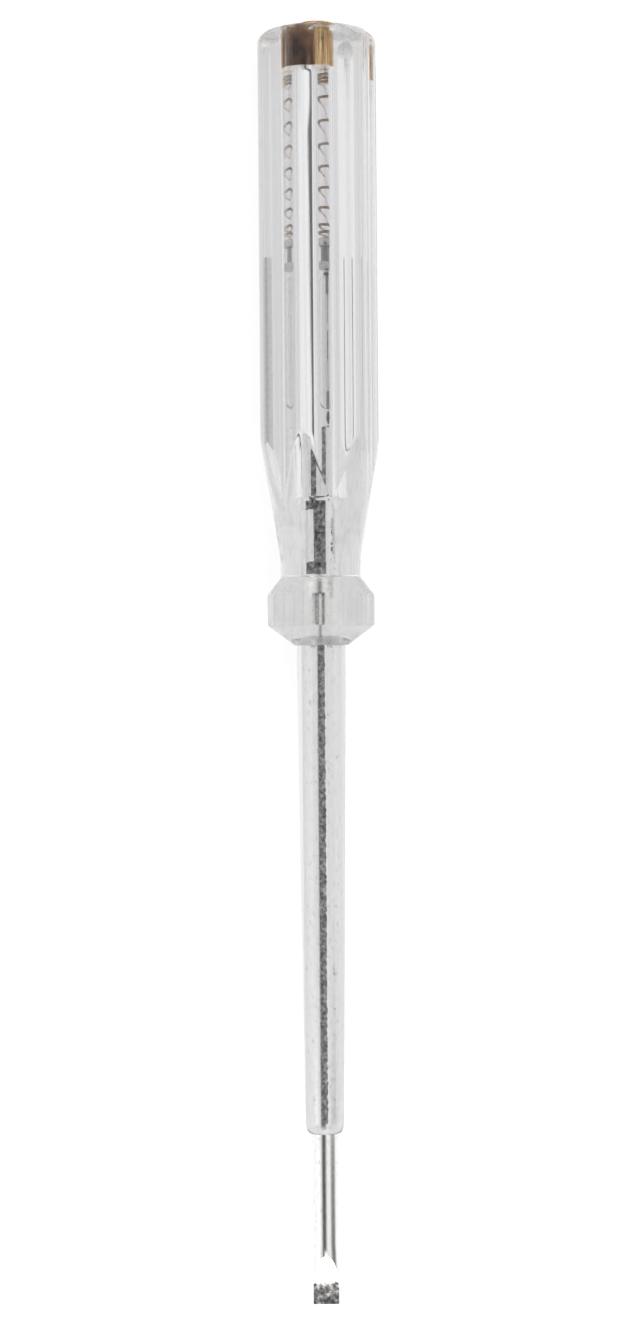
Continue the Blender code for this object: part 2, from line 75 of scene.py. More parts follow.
# %% Sizes in millimetres
TIP = -95.0
SLEEVE_FRONT = -69.6
GUARD_FRONT = 2.8
SLEEVE_REAR = 4.7
SEAT_FLOOR = 5.0
GUARD_BACK = 12.65
WING_LOW, WING_HIGH = 15.0, 23.2
NECK_END = 15.45
BORE_FLOOR = 24.8
NECK_START = 33.65
SHANK_REAR = 35.2
PIP_LOW, PIP_HIGH = 35.5, 37.5
LAMP_LOW, LAMP_HIGH = 37.8, 57.4
DISC_LOW, DISC_HIGH = 57.5, 57.9
RESISTOR_LOW, RESISTOR_HIGH = 58.2, 62.9
BOSS_END = 86.8
CAP_LOW = 87.55
BUTT = 93.7
CAP_TOP = 95.0
BORE_RADIUS = 2.75
SHANK_RADIUS = 1.95
SLEEVE_RADIUS = 3.64
FLAT_HALF = 1.3
CONTACT = 0.02
BLADE_TURN = math.radians(-12.6)
print("overall: %.1f mm" % (CAP_TOP - TIP), "reach: %.1f mm" % (GUARD_FRONT - TIP))

# %% [markdown]
# ## Helpers for materials
# Colours are written as sRGB hex values, as they are picked from a picture, and one
# function turns them into the linear values that the shader wants. One more function
# adds any node with its settings and its links, so each material reads as a list of
# what feeds what.

# %% Colour and nodes
def linear(code):
    """An sRGB hex colour as linear RGBA."""
    values = [int(code[place:place + 2], 16) / 255 for place in (1, 3, 5)]
    lights = [value / 12.92 if value <= 0.04045 else ((value + 0.055) / 1.055) ** 2.4
              for value in values]
    return (*lights, 1.0)


def add(tree, kind, inputs=None, stops=(), **settings):
    """Add a node. An input is a plain value, or the node or the socket that feeds it.

    The stops are those of a colour ramp, as pairs of a position and a hex colour.
    """
    made = tree.nodes.new("ShaderNode" + kind)
    for name, value in settings.items():
        setattr(made, name, value)
    for name, value in (inputs or {}).items():
        if isinstance(value, bpy.types.Node):
            value = next(socket for socket in value.outputs if socket.enabled)
        if isinstance(value, bpy.types.NodeSocket):
            tree.links.new(value, made.inputs[name])
        else:
            made.inputs[name].default_value = value
    if stops:
        points = made.color_ramp.elements
        while len(points) < len(stops):
            points.new(0.5)
        for point, (position, code) in zip(points, stops):
            point.position = position
            point.color = linear(code)
    return made


def new_material(name):
    """A new material and its empty tree."""
    made = bpy.data.materials.new(name)
    made.use_nodes = True
    made.node_tree.nodes.clear()
    return made, made.node_tree


def surface(tree, inputs):
    """Join a Principled shader with these inputs to the output."""
    add(tree, "OutputMaterial", {"Surface": add(tree, "BsdfPrincipled", inputs)})


# %% [markdown]
# ## Patterns of a real size
# Every finish is a little uneven: lines from a die, haze from handling, spots in
# a plate. All are noise on the piece's own coordinates, in cycles per millimetre, with
# few cycles along the direction in which the tool or the hand moved. The values of
# noise lie mostly between 0.3 and 0.7, so this range is spread over a roughness.

# %% Coordinates in millimetres and grain
GRAIN_RANGE = {"From Min": 0.3, "From Max": 0.7}


def stretched(tree, scale=(1, 1, 1)):
    """The piece's own coordinates in mm, centred on the tool's axis, then scaled."""
    place = add(tree, "TexCoord").outputs["Object"]
    centred = add(tree, "Mapping", {"Vector": place, "Location": (0, 0, -AXIS)})
    return add(tree, "Mapping", {"Vector": centred,
                                 "Scale": tuple(part / MM for part in scale)})


def grain(tree, scale, detail=3, roughness=0.5, seed=0.0):
    """An uneven pattern, with scale cycles per millimetre along x, y and z."""
    return add(tree, "TexNoise", {"Vector": stretched(tree, scale), "Scale": 1.0,
                                  "Detail": detail, "Roughness": roughness, "W": seed},
               noise_dimensions="4D")


def turned_places(tree, angle=0.0):
    """X, Y and Z in mm, seen after a turn by an angle about the tool's axis."""
    places = add(tree, "VectorRotate", {"Vector": stretched(tree), "Angle": angle},
                 rotation_type="Y_AXIS")
    return add(tree, "SeparateXYZ", {"Vector": places}).outputs


# %% [markdown]
# ## Clear grip plastic
# The grip is cellulose acetate, moulded and tumbled. It is clear with a faint grey
# cast. Its mould has left fine lines along the flutes, a third of a millimetre apart,
# and use has left a little haze, most of it at the butt and on the guard. The eye sees
# them as a thin streaking of what stands behind. Scratches could be modelled, but they
# are finer than a pixel, so a shallow bump along the tool, streaks in the colour and
# a roughness that changes a little stand for them.

# %% Material: clear acetate
acetate, tree = new_material("moulded_clear_acetate")
mould_lines = grain(tree, (3.0, 0.004, 3.0), detail=4)
haze = grain(tree, (0.4, 0.2, 0.4), detail=5, seed=3.0)
smears = grain(tree, (2.2, 0.006, 2.2), seed=16.0)
station = turned_places(tree)["Y"]
at_butt = add(tree, "MapRange", {"Value": station, "From Min": BUTT - 3.2,
                                 "From Max": BUTT - 1.7})
at_guard = add(tree, "MapRange", {"Value": station, "From Min": GUARD_BACK + 0.85,
                                  "From Max": GUARD_BACK - 0.45})
rubbed = add(tree, "Math", {0: at_butt, 1: at_guard}, operation="MAXIMUM")
scuffed = add(tree, "MapRange", {**GRAIN_RANGE, "Value": haze, "To Min": 0.10, "To Max": 0.30})
polished = add(tree, "MapRange", {**GRAIN_RANGE, "Value": haze, "To Min": 0.01, "To Max": 0.05})
surface(tree, {
    "Base Color": add(tree, "ValToRGB", {"Fac": smears},
                      [(0.34, "#E0E0E2"), (0.46, "#F3F3F4"), (0.7, "#F8F7F8")]),
    "Transmission Weight": 1.0,
    "IOR": 1.48,
    "Roughness": add(tree, "Math", {0: scuffed, 1: rubbed, 2: polished},
                     operation="MULTIPLY_ADD"),
    "Normal": add(tree, "Bump", {"Height": mould_lines, "Distance": 0.004 * MM})})
print(acetate.name, "nodes:", len(tree.nodes))

# %% [markdown]
# ## Sleeve
# The sleeve is soft clear vinyl shrunk on the shank. It wets the metal in most places,
# so one sees the shank as wide as the sleeve, and it is duller where the vinyl has let
# go, in spots of one millimetre by four. A thick tube that bends the light does this
# by itself, so the material is only clear, with a roughness in such spots.

# %% Material: clear vinyl
vinyl, tree = new_material("shrunk_clear_vinyl")
wet = grain(tree, (0.9, 0.25, 0.9), detail=5)
skin = grain(tree, (1.4, 0.2, 1.4), seed=5.0)
surface(tree, {
    "Base Color": linear("#F6F6F8"),
    "Transmission Weight": 0.97,
    "IOR": 1.52,
    "Roughness": add(tree, "MapRange", {**GRAIN_RANGE, "Value": wet,
                                        "To Min": 0.02, "To Max": 0.1}),
    "Normal": add(tree, "Bump", {"Height": skin, "Distance": 0.01 * MM})})
print(vinyl.name, "nodes:", len(tree.nodes))

# %% [markdown]
# ## Plated steel
# The shank is drawn steel rod with a thin bright nickel plate: fine lines along it and
# small dull spots. On its upper side a dark reflection of the room overhead is painted
# in rough grey: an upright mark with two feet in the neck, a line that runs on behind
# it, a short one before it, and a frayed strip under the sleeve along the whole shank.
# Burrs in the same grey lie on the raised wings beside the mark. All are flat, so they
# could be a picture. A few rectangles in millimetres, on the upper side only, do the
# same and stay sharp at any distance.

# %% Masks on the blade
# Rectangles of a painted dark reflection on the blade's upper side.
PAINTED_REFLECTION_MARKS = {"stem": (-0.78, 0.62, 13.2, 24.4),
               "foot towards the tip": (-1.6, 0.62, 13.2, 15.2),
               "foot towards the butt": (-1.6, 0.62, 23.1, 24.4),
               "line behind": (-1.2, -0.5, 24.4, 35.0),
               "line before": (-0.24, 0.0, 5.4, 11.0)}
BURRS = {"right wing": (1.15, 1.6, 16.4, 22.2), "left wing": (-3.2, -2.7, 16.6, 20.6)}
# A frayed strip of painted dark reflection under the sleeve.
PAINTED_REFLECTION_STRIP = (-0.48, 0.4, -68.0, 3.0)


def patch(tree, across, along, edges):
    """One inside a rectangle of low x, high x, low y and high y in mm, else zero."""
    low_x, high_x, low_y, high_y = edges
    sides = [add(tree, "Math", {0: value, 1: (low + high) / 2, 2: (high - low) / 2},
                 operation="COMPARE")
             for value, low, high in ((across, low_x, high_x), (along, low_y, high_y))]
    return add(tree, "Math", {0: sides[0], 1: sides[1]}, operation="MULTIPLY")


def joined(tree, masks):
    """Several masks as one: the highest of them at each place."""
    level = masks[0]
    for mask in masks[1:]:
        level = add(tree, "Math", {0: level, 1: mask}, operation="MAXIMUM")
    return level


# %% Material: nickel plate
plate, tree = new_material("nickel_plated_drawn_steel")
drawn = grain(tree, (6.0, 0.05, 6.0), detail=4)
spots = grain(tree, (1.6, 0.9, 1.6), detail=6, roughness=0.7, seed=2.0)
grit = grain(tree, (2.2, 1.6, 2.2), detail=5, roughness=0.7, seed=14.0)
x, y, z = turned_places(tree, -BLADE_TURN)
dark_reflection_marks = joined(tree, [patch(tree, x, y, edges) for edges in PAINTED_REFLECTION_MARKS.values()])
burrs = joined(tree, [patch(tree, x, y, edges) for edges in BURRS.values()])
gritty = add(tree, "Math", {0: grit, 1: 0.5}, operation="LESS_THAN")
burrs = add(tree, "Math", {0: burrs, 1: gritty}, operation="MULTIPLY")
fraying = add(tree, "MapRange", {**GRAIN_RANGE, "Value": grit, "To Min": -0.12, "To Max": 0.12})
frayed = add(tree, "Math", {0: x, 1: fraying}, operation="ADD")
# Burrs and the painted dark reflection, kept to the upper side.
burrs_and_dark_reflection = joined(tree, [dark_reflection_marks, burrs, patch(tree, frayed, y, PAINTED_REFLECTION_STRIP)])
upper_side = add(tree, "Math", {0: z, 1: 0.0}, operation="GREATER_THAN")
burrs_and_dark_reflection = add(tree, "Math", {0: burrs_and_dark_reflection, 1: upper_side}, operation="MULTIPLY")
bright = add(tree, "ValToRGB", {"Fac": spots},
             [(0.30, "#C4C3C1"), (0.42, "#ECECEA"), (0.7, "#F4F4F2")])
# Rough grey for the burrs and the painted dark reflection.
scaled = add(tree, "ValToRGB", {"Fac": grit},
             [(0.36, "#4A4A4A"), (0.5, "#8A8A8A"), (0.66, "#D0D0D0")])
dulled = add(tree, "MapRange", {**GRAIN_RANGE, "Value": spots, "To Min": 0.22, "To Max": 0.08})
pitted = add(tree, "Math", {0: drawn, 1: 0.25, 2: grit}, operation="MULTIPLY_ADD")
surface(tree, {
    "Metallic": 1.0,
    "Base Color": add(tree, "Mix", {"Factor": burrs_and_dark_reflection, "A": bright, "B": scaled},
                      data_type="RGBA"),
    "Roughness": add(tree, "Mix", {"Factor": burrs_and_dark_reflection, "A": dulled, "B": 0.5}),
    "Normal": add(tree, "Bump", {"Height": pitted, "Distance": 0.012 * MM})})
print(plate.name, "nodes:", len(tree.nodes))

# %% [markdown]
# ## Ground steel
# The tip is ground across after plating, so its lines run across, a ninth of
# a millimetre apart. Its flat end is mottled dark from heat and use, and the dark ends
# in a ragged border where the slope to the round shank starts.

# %% Material: ground steel
ground, tree = new_material("wheel_ground_steel")
scratch = grain(tree, (0.15, 9.0, 9.0), detail=4)
burn = grain(tree, (1.4, 1.4, 1.4), detail=5, roughness=0.6, seed=4.0)
ragged = add(tree, "MapRange", {"Value": burn, "To Min": -1.2, "To Max": 1.2})
border = add(tree, "Math", {0: turned_places(tree)["Y"], 1: ragged}, operation="ADD")
slope = add(tree, "MapRange", {"Value": border, "From Min": TIP + 2.9, "From Max": TIP + 3.4})
mottled = add(tree, "ValToRGB", {"Fac": burn},
              [(0.4, "#4C4B4A"), (0.54, "#8C8B8A"), (0.68, "#DADAD8")])
surface(tree, {
    "Metallic": 1.0,
    "Base Color": add(tree, "Mix", {"Factor": slope, "A": mottled, "B": linear("#F0F0EE")},
                      data_type="RGBA"),
    "Roughness": add(tree, "Mix", {"Factor": slope, "A": 0.4, "B": 0.2}),
    "Normal": add(tree, "Bump", {"Height": scratch, "Distance": 0.006 * MM})})
print(ground.name, "nodes:", len(tree.nodes))

# %% [markdown]
# ## Turned brass
# The cap is turned brass, yellow where fingers rub it. One side is painted a darker
# brown, and dark and light streaks a quarter of a millimetre wide run along it. The
# chamfer at its lower end has a painted highlight, all but white. So two ramps of the
# same streaks are mixed by the side, and the highlight is laid on by the station.

# %% Material: turned brass
brass, tree = new_material("turned_brass")
BROWNED_AT = math.radians(57)
tarnish = grain(tree, (1.2, 0.5, 1.2), detail=5, seed=1.0)
turning = grain(tree, (0.2, 14.0, 0.2))
streaks = grain(tree, (4.0, 0.15, 4.0), detail=4, roughness=0.65, seed=15.0)
yellow = add(tree, "ValToRGB", {"Fac": streaks},
             [(0.38, "#93693A"), (0.5, "#C8A26C"), (0.62, "#E8D2A6")])
brown = add(tree, "ValToRGB", {"Fac": streaks},
            [(0.38, "#2A160D"), (0.5, "#6A4830"), (0.62, "#B48C62")])
x, y, z = turned_places(tree, BROWNED_AT)
off_side = add(tree, "Math", {0: x}, operation="ABSOLUTE")
browned = add(tree, "MapRange", {"Value": off_side, "From Min": 0.9, "From Max": 1.2,
                                 "To Min": 1.0, "To Max": 0.0})
# The darker brown is painted on one side only.
brown_half = add(tree, "Math", {0: z, 1: 0.0}, operation="GREATER_THAN")
browned = add(tree, "Math", {0: browned, 1: brown_half}, operation="MULTIPLY")
# A painted highlight, all but white, on the chamfer at the cap's lower end.
chamfer_highlight = add(tree, "MapRange", {"Value": y, "From Min": CAP_LOW + 0.5, "From Max": CAP_LOW + 0.6,
                               "To Min": 1.0, "To Max": 0.0})
aged = add(tree, "Mix", {"Factor": browned, "A": yellow, "B": brown}, data_type="RGBA")
surface(tree, {
    "Metallic": 1.0,
    "Base Color": add(tree, "Mix", {"Factor": chamfer_highlight, "A": aged, "B": linear("#F6EEE6")},
                      data_type="RGBA"),
    "Roughness": add(tree, "MapRange", {**GRAIN_RANGE, "Value": tarnish,
                                        "To Min": 0.34, "To Max": 0.18}),
    "Normal": add(tree, "Bump", {"Height": turning, "Distance": 0.003 * MM})})
print(brass.name, "nodes:", len(tree.nodes))

# %% [markdown]
# ## Bronze wire
# The spring is drawn bronze wire, browned on top and paler underneath, where the white
# table lights it. The brown changes every two thirds of a millimetre, because less
# couldn't be seen on so thin a wire.

# %% Material: bronze wire
wire_bronze, tree = new_material("drawn_bronze_wire")
patina = grain(tree, (1.5, 1.5, 1.5), detail=5, seed=6.0)
worn = add(tree, "ValToRGB", {"Fac": patina},
           [(0.3, "#7A6653"), (0.55, "#A08A74"), (0.75, "#C6B8A6")])
under = add(tree, "MapRange", {"Value": turned_places(tree)["Z"], "From Min": 0.6,
                               "From Max": -0.6})
surface(tree, {
    "Metallic": 1.0,
    "Base Color": add(tree, "Mix", {"Factor": under, "A": worn, "B": linear("#EDE7DF")},
                      data_type="RGBA"),
    "Roughness": add(tree, "MapRange", {**GRAIN_RANGE, "Value": patina,
                                        "To Min": 0.38, "To Max": 0.22})})
print(wire_bronze.name, "nodes:", len(tree.nodes))

# %% [markdown]
# ## Glass of the lamp
# The lamp is drawn soda glass, a little grey from the burnt electrodes, with a film
# that dulls it in places. Its ends are sealed by fused beads, which are cloudy: glass
# that lets only part of the light through.

# %% Materials: soda glass and fused beads
tube_glass, tree = new_material("drawn_soda_glass")
film = grain(tree, (0.5, 0.15, 0.5), detail=4, seed=7.0)
surface(tree, {
    "Base Color": linear("#F2F3F2"),
    "Transmission Weight": 1.0,
    "IOR": 1.51,
    "Roughness": add(tree, "MapRange", {**GRAIN_RANGE, "Value": film,
                                        "To Min": 0.0, "To Max": 0.05})})
bead, tree = new_material("fused_glass_bead")
cloud = grain(tree, (1.2, 1.2, 1.2), detail=4, seed=8.0)
surface(tree, {
    "Base Color": add(tree, "ValToRGB", {"Fac": cloud}, [(0.3, "#B9BAB6"), (0.7, "#DDDEDA")]),
    "Transmission Weight": 0.6,
    "IOR": 1.51,
    "Roughness": add(tree, "MapRange", {**GRAIN_RANGE, "Value": cloud,
                                        "To Min": 0.1, "To Max": 0.3})})
print("glasses:", tube_glass.name, bead.name)

# %% [markdown]
# ## Metals of the lamp
# The leads and electrodes are nickel wire, dulled by heat in streaks of half
# a millimetre. The contacts at both ends are old solder, grey and rough with crystals
# of about 0.4 mm.

# %% Materials: nickel wire and solder
nickel, tree = new_material("dull_nickel_wire")
oxide = grain(tree, (2.0, 0.8, 2.0), detail=4, seed=9.0)
surface(tree, {
    "Metallic": 1.0,
    "Base Color": add(tree, "ValToRGB", {"Fac": oxide}, [(0.3, "#6E6B67"), (0.7, "#A9A6A1")]),
    "Roughness": add(tree, "MapRange", {**GRAIN_RANGE, "Value": oxide,
                                        "To Min": 0.45, "To Max": 0.28})})
solder, tree = new_material("old_tin_lead_solder")
crystals = grain(tree, (2.5, 2.5, 2.5), detail=5, seed=10.0)
surface(tree, {
    "Metallic": 1.0,
    "Base Color": add(tree, "ValToRGB", {"Fac": crystals},
                      [(0.3, "#4E4B48"), (0.7, "#8C8985")]),
    "Roughness": add(tree, "MapRange", {**GRAIN_RANGE, "Value": crystals,
                                        "To Min": 0.5, "To Max": 0.3}),
    "Normal": add(tree, "Bump", {"Height": crystals, "Distance": 0.02 * MM})})
print("metals:", nickel.name, solder.name)

# %% [markdown]
# ## Lacquer and tin
# The resistor is a carbon rod, dipped in lacquer that has sagged in soft waves of
# a millimetre. Its two cups are pressed from tinned sheet, bright with small dents.

# %% Materials: lacquer and tinned steel
lacquer, tree = new_material("dipped_dark_lacquer")
sag = grain(tree, (1.0, 0.6, 1.0), seed=11.0)
surface(tree, {
    "Base Color": add(tree, "ValToRGB", {"Fac": sag}, [(0.3, "#8A8784"), (0.7, "#BEBBB8")]),
    "Roughness": 0.28,
    "Normal": add(tree, "Bump", {"Height": sag, "Distance": 0.02 * MM})})
tin, tree = new_material("pressed_tinned_cup")
dents = grain(tree, (1.8, 1.8, 1.8), detail=4, seed=12.0)
surface(tree, {
    "Metallic": 1.0,
    "Base Color": add(tree, "ValToRGB", {"Fac": dents}, [(0.3, "#A7A6A3"), (0.7, "#D2D1CE")]),
    "Roughness": add(tree, "MapRange", {**GRAIN_RANGE, "Value": dents,
                                        "To Min": 0.3, "To Max": 0.16}),
    "Normal": add(tree, "Bump", {"Height": dents, "Distance": 0.008 * MM})})
print("materials:", len(bpy.data.materials))

# %% [markdown]
# ## The grip's section
# Grip, neck and guard are one moulding. The grip is a bar with six ridges: each has
# a round crest and two nearly flat flanks that run down into narrow flutes. The outline
# of half a ridge is three arcs that join without a corner, worked out from their radii.
# Read at equal angles, it gives the grip's radius all the way round.

# %% Section of the grip
RIDGE_RADIUS = 8.95
RIDGE_ROUND = 2.55
CREST_TURN = math.radians(40)
FLANK_ROUND = 9.0
FLUTE_ROUND = 1.2
FLUTES = 6
AROUND = 480


def arc_points(centre, radius, start, end, count=80):
    """Points of an arc round a centre, as an array of (x, y)."""
    swing = np.linspace(start, end, count)
    return np.stack([centre[0] + radius * np.cos(swing), centre[1] + radius * np.sin(swing)], 1)


def half_ridge():
    """A ridge's section from its crest to the bottom of a flute: three joined arcs."""
    half_pitch = math.pi / FLUTES
    back = FLANK_ROUND - RIDGE_ROUND
    crest = np.array((RIDGE_RADIUS - RIDGE_ROUND, 0))
    flank = crest - back * np.array((math.cos(CREST_TURN), math.sin(CREST_TURN)))
    to_flute = np.array((math.cos(half_pitch), math.sin(half_pitch)))
    along = flank @ to_flute
    aside = flank[0] * to_flute[1] - flank[1] * to_flute[0]
    flute = to_flute * (along + math.sqrt((FLANK_ROUND + FLUTE_ROUND) ** 2 - aside ** 2))
    end = math.atan2(flute[1] - flank[1], flute[0] - flank[0])
    return np.concatenate([
        arc_points(crest, RIDGE_ROUND, 0, CREST_TURN),
        arc_points(flank, FLANK_ROUND, CREST_TURN, end),
        arc_points(flute, FLUTE_ROUND, math.pi + end, math.pi + half_pitch)])


section = half_ridge()
off_crest = np.arctan2(section[:, 1], section[:, 0])
angles = np.arange(AROUND) * 360 / AROUND
pitch = 360 / FLUTES
grip = np.interp(np.radians(np.abs(angles % pitch - pitch / 2)), off_crest,
                 np.hypot(section[:, 0], section[:, 1]))
print("grip radius: %.2f to %.2f mm" % (grip.min(), grip.max()))

# %% [markdown]
# ## The guard's section
# The guard has twelve flat faces, one of them on top. Its corners are rounded by a soft
# minimum of two neighbouring faces, and the same soft minimum will round every other
# crossing of two surfaces on the handle.

# %% Section of the guard
GUARD_CORNER = 7.97
GUARD_SIDES = 12
CORNER_SOFTNESS = 0.05
facet = 360 / GUARD_SIDES
apothem = GUARD_CORNER * math.cos(math.radians(facet / 2))


def soft_min(first, second, softness):
    """The lower of two radii, with their crossing rounded."""
    difference = first - second
    return (first + second - np.sqrt(difference ** 2 + softness ** 2)) / 2


folded = np.radians((angles + facet / 2) % facet - facet / 2)
face_here = apothem / np.cos(folded)
face_beside = apothem / np.cos(math.radians(facet) - np.abs(folded))
guard = soft_min(face_here, face_beside, CORNER_SOFTNESS)
print("guard radius: %.2f to %.2f mm" % (guard.min(), guard.max()))

# %% [markdown]
# ## The handle's skin
# A bar could be cut by a rounding at the butt, by a cone at the neck and by two more at
# the guard. Such cuts leave slivers that show badly in clear plastic. So the skin is
# one grid of faces, wrapped round the axis: rings follow each other from the bore's
# mouth over the outside to the sleeve's seat and back up the bore. Each ring is
# a station with one radius for every angle.

# %% Rings of the butt, the grip and the neck
BUTT_ROUND = 2.0
BUTT_STEPS = 14
BUTT_SOFTNESS = 0.08
NECK_RADIUS = 5.9
NECK_BEND = 0.15
RUN_OUT_SOFTNESS = 0.03
MOUTH = BORE_RADIUS + 0.4
circle = np.ones(AROUND)
rings = []


def ring(radius, station):
    """One ring of the skin: a radius, or one for each angle, at a station."""
    rings.append((radius * circle, station))


rim = RIDGE_RADIUS - BUTT_ROUND
ring(MOUTH, BUTT)
ring((MOUTH + rim) / 2, BUTT)
for step in range(BUTT_STEPS + 1):
    swing = math.radians(90 * (1 - step / BUTT_STEPS))
    rounding = rim + BUTT_ROUND * math.cos(swing)
    station = BUTT - BUTT_ROUND * (1 - math.sin(swing))
    ring(soft_min(grip, rounding * circle, BUTT_SOFTNESS), station)
for station in np.linspace(BUTT - BUTT_ROUND - 0.4, NECK_START + 2.0, 10):
    ring(grip, station)
neck_slope = (RIDGE_RADIUS - NECK_RADIUS) / (NECK_START - NECK_END)
for station in np.linspace(NECK_START + 1.6, GUARD_BACK + 0.3, 60):
    cone = NECK_RADIUS + neck_slope * (station - NECK_END)
    cone = cone + NECK_RADIUS - soft_min(cone, NECK_RADIUS, NECK_BEND)
    ring(soft_min(grip, cone * circle, RUN_OUT_SOFTNESS), station)
print("rings to the neck's end:", len(rings))

# %% [markdown]
# The guard swells behind, runs level as a band, and falls in front to the sleeve. Both
# slopes are cones, and the rings stand close together where a cone meets the faces.

# %% Rings of the guard
GUARD_BACK_RADIUS = 6.1
GUARD_BACK_SLOPE = 2.45
GUARD_FRONT_RADIUS = 4.0
GUARD_BAND = 4.4
GUARD_SOFTNESS = 0.06
front_length = GUARD_BACK - GUARD_FRONT - GUARD_BAND - GUARD_BACK_SLOPE
back_slope = (GUARD_CORNER - GUARD_BACK_RADIUS) / GUARD_BACK_SLOPE
front_slope = (GUARD_CORNER - GUARD_FRONT_RADIUS) / front_length
band_back = GUARD_BACK - GUARD_BACK_SLOPE
band_front = GUARD_FRONT + front_length
guard_stations = [*np.linspace(GUARD_BACK - 0.1, band_back + 0.6, 12),
                  *np.linspace(band_back + 0.5, band_back - 0.3, 12),
                  *np.linspace(band_back - 0.8, band_front + 0.6, 6),
                  *np.linspace(band_front + 0.3, band_front - 0.5, 14),
                  *np.linspace(band_front - 0.7, GUARD_FRONT + 0.05, 12)]
ring(NECK_RADIUS + 0.08, GUARD_BACK + 0.12)
ring(GUARD_BACK_RADIUS, GUARD_BACK)
for station in guard_stations:
    behind = (GUARD_BACK_RADIUS + back_slope * (GUARD_BACK - station)) * circle
    before = (GUARD_FRONT_RADIUS + front_slope * (station - GUARD_FRONT)) * circle
    ring(soft_min(soft_min(guard, behind, GUARD_SOFTNESS), before, GUARD_SOFTNESS), station)
ring(GUARD_FRONT_RADIUS, GUARD_FRONT)
print("rings to the guard's front:", len(rings))

# %% [markdown]
# Inside, the skin takes up the sleeve's seat, the hole round the shank with the two
# flats that the press has left on it, and the bore. Seat and hole are a trace tighter
# than what they hold, as plastic that has shrunk on it. A small shoulder under the cap
# leads to the thread's hole.

# %% Rings of the seat, the shank's hole and the bore
SEAT_RADIUS = SLEEVE_RADIUS - CONTACT
HOLE_RADIUS = SHANK_RADIUS - CONTACT
TAPPED = BORE_RADIUS + 0.12
SHOULDER = 0.4
LEAD_IN = 0.06
STEP = 0.05
FLOOR_ROUND = 0.15
ring(SEAT_RADIUS + LEAD_IN, GUARD_FRONT)
ring(SEAT_RADIUS, GUARD_FRONT + LEAD_IN)
ring(SEAT_RADIUS, SEAT_FLOOR)
for station in (SEAT_FLOOR, SEAT_FLOOR + 2, WING_LOW - STEP):
    ring(HOLE_RADIUS, station)
flats = FLAT_HALF / np.maximum(np.abs(np.sin(np.radians(angles) - BLADE_TURN)), 0.01)
for station in (WING_LOW, WING_HIGH):
    ring(np.minimum(flats, SHANK_RADIUS) - CONTACT, station)
for station in (WING_HIGH + STEP, BORE_FLOOR):
    ring(HOLE_RADIUS, station)
ring(BORE_RADIUS - FLOOR_ROUND, BORE_FLOOR)
ring(BORE_RADIUS, BORE_FLOOR + FLOOR_ROUND)
for station in np.linspace(BORE_FLOOR + 2, CAP_LOW - SHOULDER, 8):
    ring(BORE_RADIUS, station)
ring(TAPPED, CAP_LOW)
ring(TAPPED, BUTT - 0.4)
print("rings:", len(rings), "faces:", len(rings) * AROUND)

# %% [markdown]
# ## From a grid to the handle
# A flat grid with one row for each ring and one column for each angle has the right
# faces already. Its vertices are only put in their places, and its two pairs of free
# edges are merged. An operator acts on all that is selected, so everything is
# deselected first. Every finished piece then takes the place of its solids and rides
# on their body.

# %% Deselect, close, smooth and hand over
def deselect():
    """Leave edit mode and deselect every object."""
    if bpy.context.mode != "OBJECT":
        bpy.ops.object.mode_set(mode="OBJECT")
    bpy.ops.object.select_all(action="DESELECT")


def close_mesh():
    """Merge seams and poles of the mesh in edit mode, and point its faces outwards."""
    bpy.ops.mesh.select_all(action="SELECT")
    bpy.ops.mesh.remove_doubles(threshold=0.0005 * MM)
    bpy.ops.mesh.normals_make_consistent(inside=False)
    bpy.ops.object.mode_set(mode="OBJECT")


def smooth(piece, angle):
    """Smooth shading with the true corners kept sharp."""
    deselect()
    piece.select_set(True)
    bpy.context.view_layer.objects.active = piece
    bpy.ops.object.shade_smooth_by_angle(angle=math.radians(angle))


def stands_for(piece, body, slot, *nodes):
    """A finished piece rides on its body and takes the place of its CAD nodes."""
    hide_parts(*nodes)
    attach(piece, body)
    print(piece.name, "faces:", len(piece.data.polygons))


# %% Wrap a grid into the handle
deselect()
bpy.ops.mesh.primitive_grid_add(x_subdivisions=AROUND, y_subdivisions=len(rings), size=1)
handle = bpy.context.active_object
handle.name = "grip_neck_and_guard"
places = np.empty(len(handle.data.vertices) * 3)
handle.data.vertices.foreach_get("co", places)
places = places.reshape(-1, 3)
column = np.rint((places[:, 0] + 0.5) * AROUND).astype(int) % AROUND
row = np.rint((places[:, 1] + 0.5) * len(rings)).astype(int) % len(rings)
radii = np.array([radius for radius, station in rings])[row, column]
stations = np.array([station for radius, station in rings])[row]
turn = np.radians(angles[column])
wrapped = np.stack([radii * np.sin(turn) * MM, stations * MM,
                    AXIS + radii * np.cos(turn) * MM], axis=1)
handle.data.vertices.foreach_set("co", wrapped.ravel())
handle.data.update()
bpy.ops.object.mode_set(mode="EDIT")
close_mesh()
smooth(handle, 38)
handle.data.materials.append(acetate)
stands_for(handle, "handle_and_blade", "clear_acetate", "handle")

# %% [markdown]
# ## The blade
# The blade is a round rod. A turned piece is drawn the way a lathe hand thinks of it:
# half a profile, spun round the tool's axis. The profile starts as one point that is
# extruded from place to place.

# %% Draw a profile and turn the blade
REAR_CHAMFER = 0.4
LAST_RING = 9.0


def chain(name, points):
    """A chain of edges through points, in mm with z from the axis, left in edit mode."""
    deselect()
    bpy.ops.mesh.primitive_plane_add(size=MM)
    piece = bpy.context.active_object
    piece.name = name
    piece.data.name = name
    bpy.ops.object.mode_set(mode="EDIT")
    bpy.ops.mesh.select_all(action="SELECT")
    bpy.ops.mesh.merge(type="CENTER")
    places = [Vector((x * MM, y * MM, AXIS + z * MM)) for x, y, z in points]
    bpy.ops.transform.translate(value=places[0])
    for here, there in zip(places, places[1:]):
        bpy.ops.mesh.extrude_region_move(TRANSFORM_OT_translate={"value": there - here})
    return piece


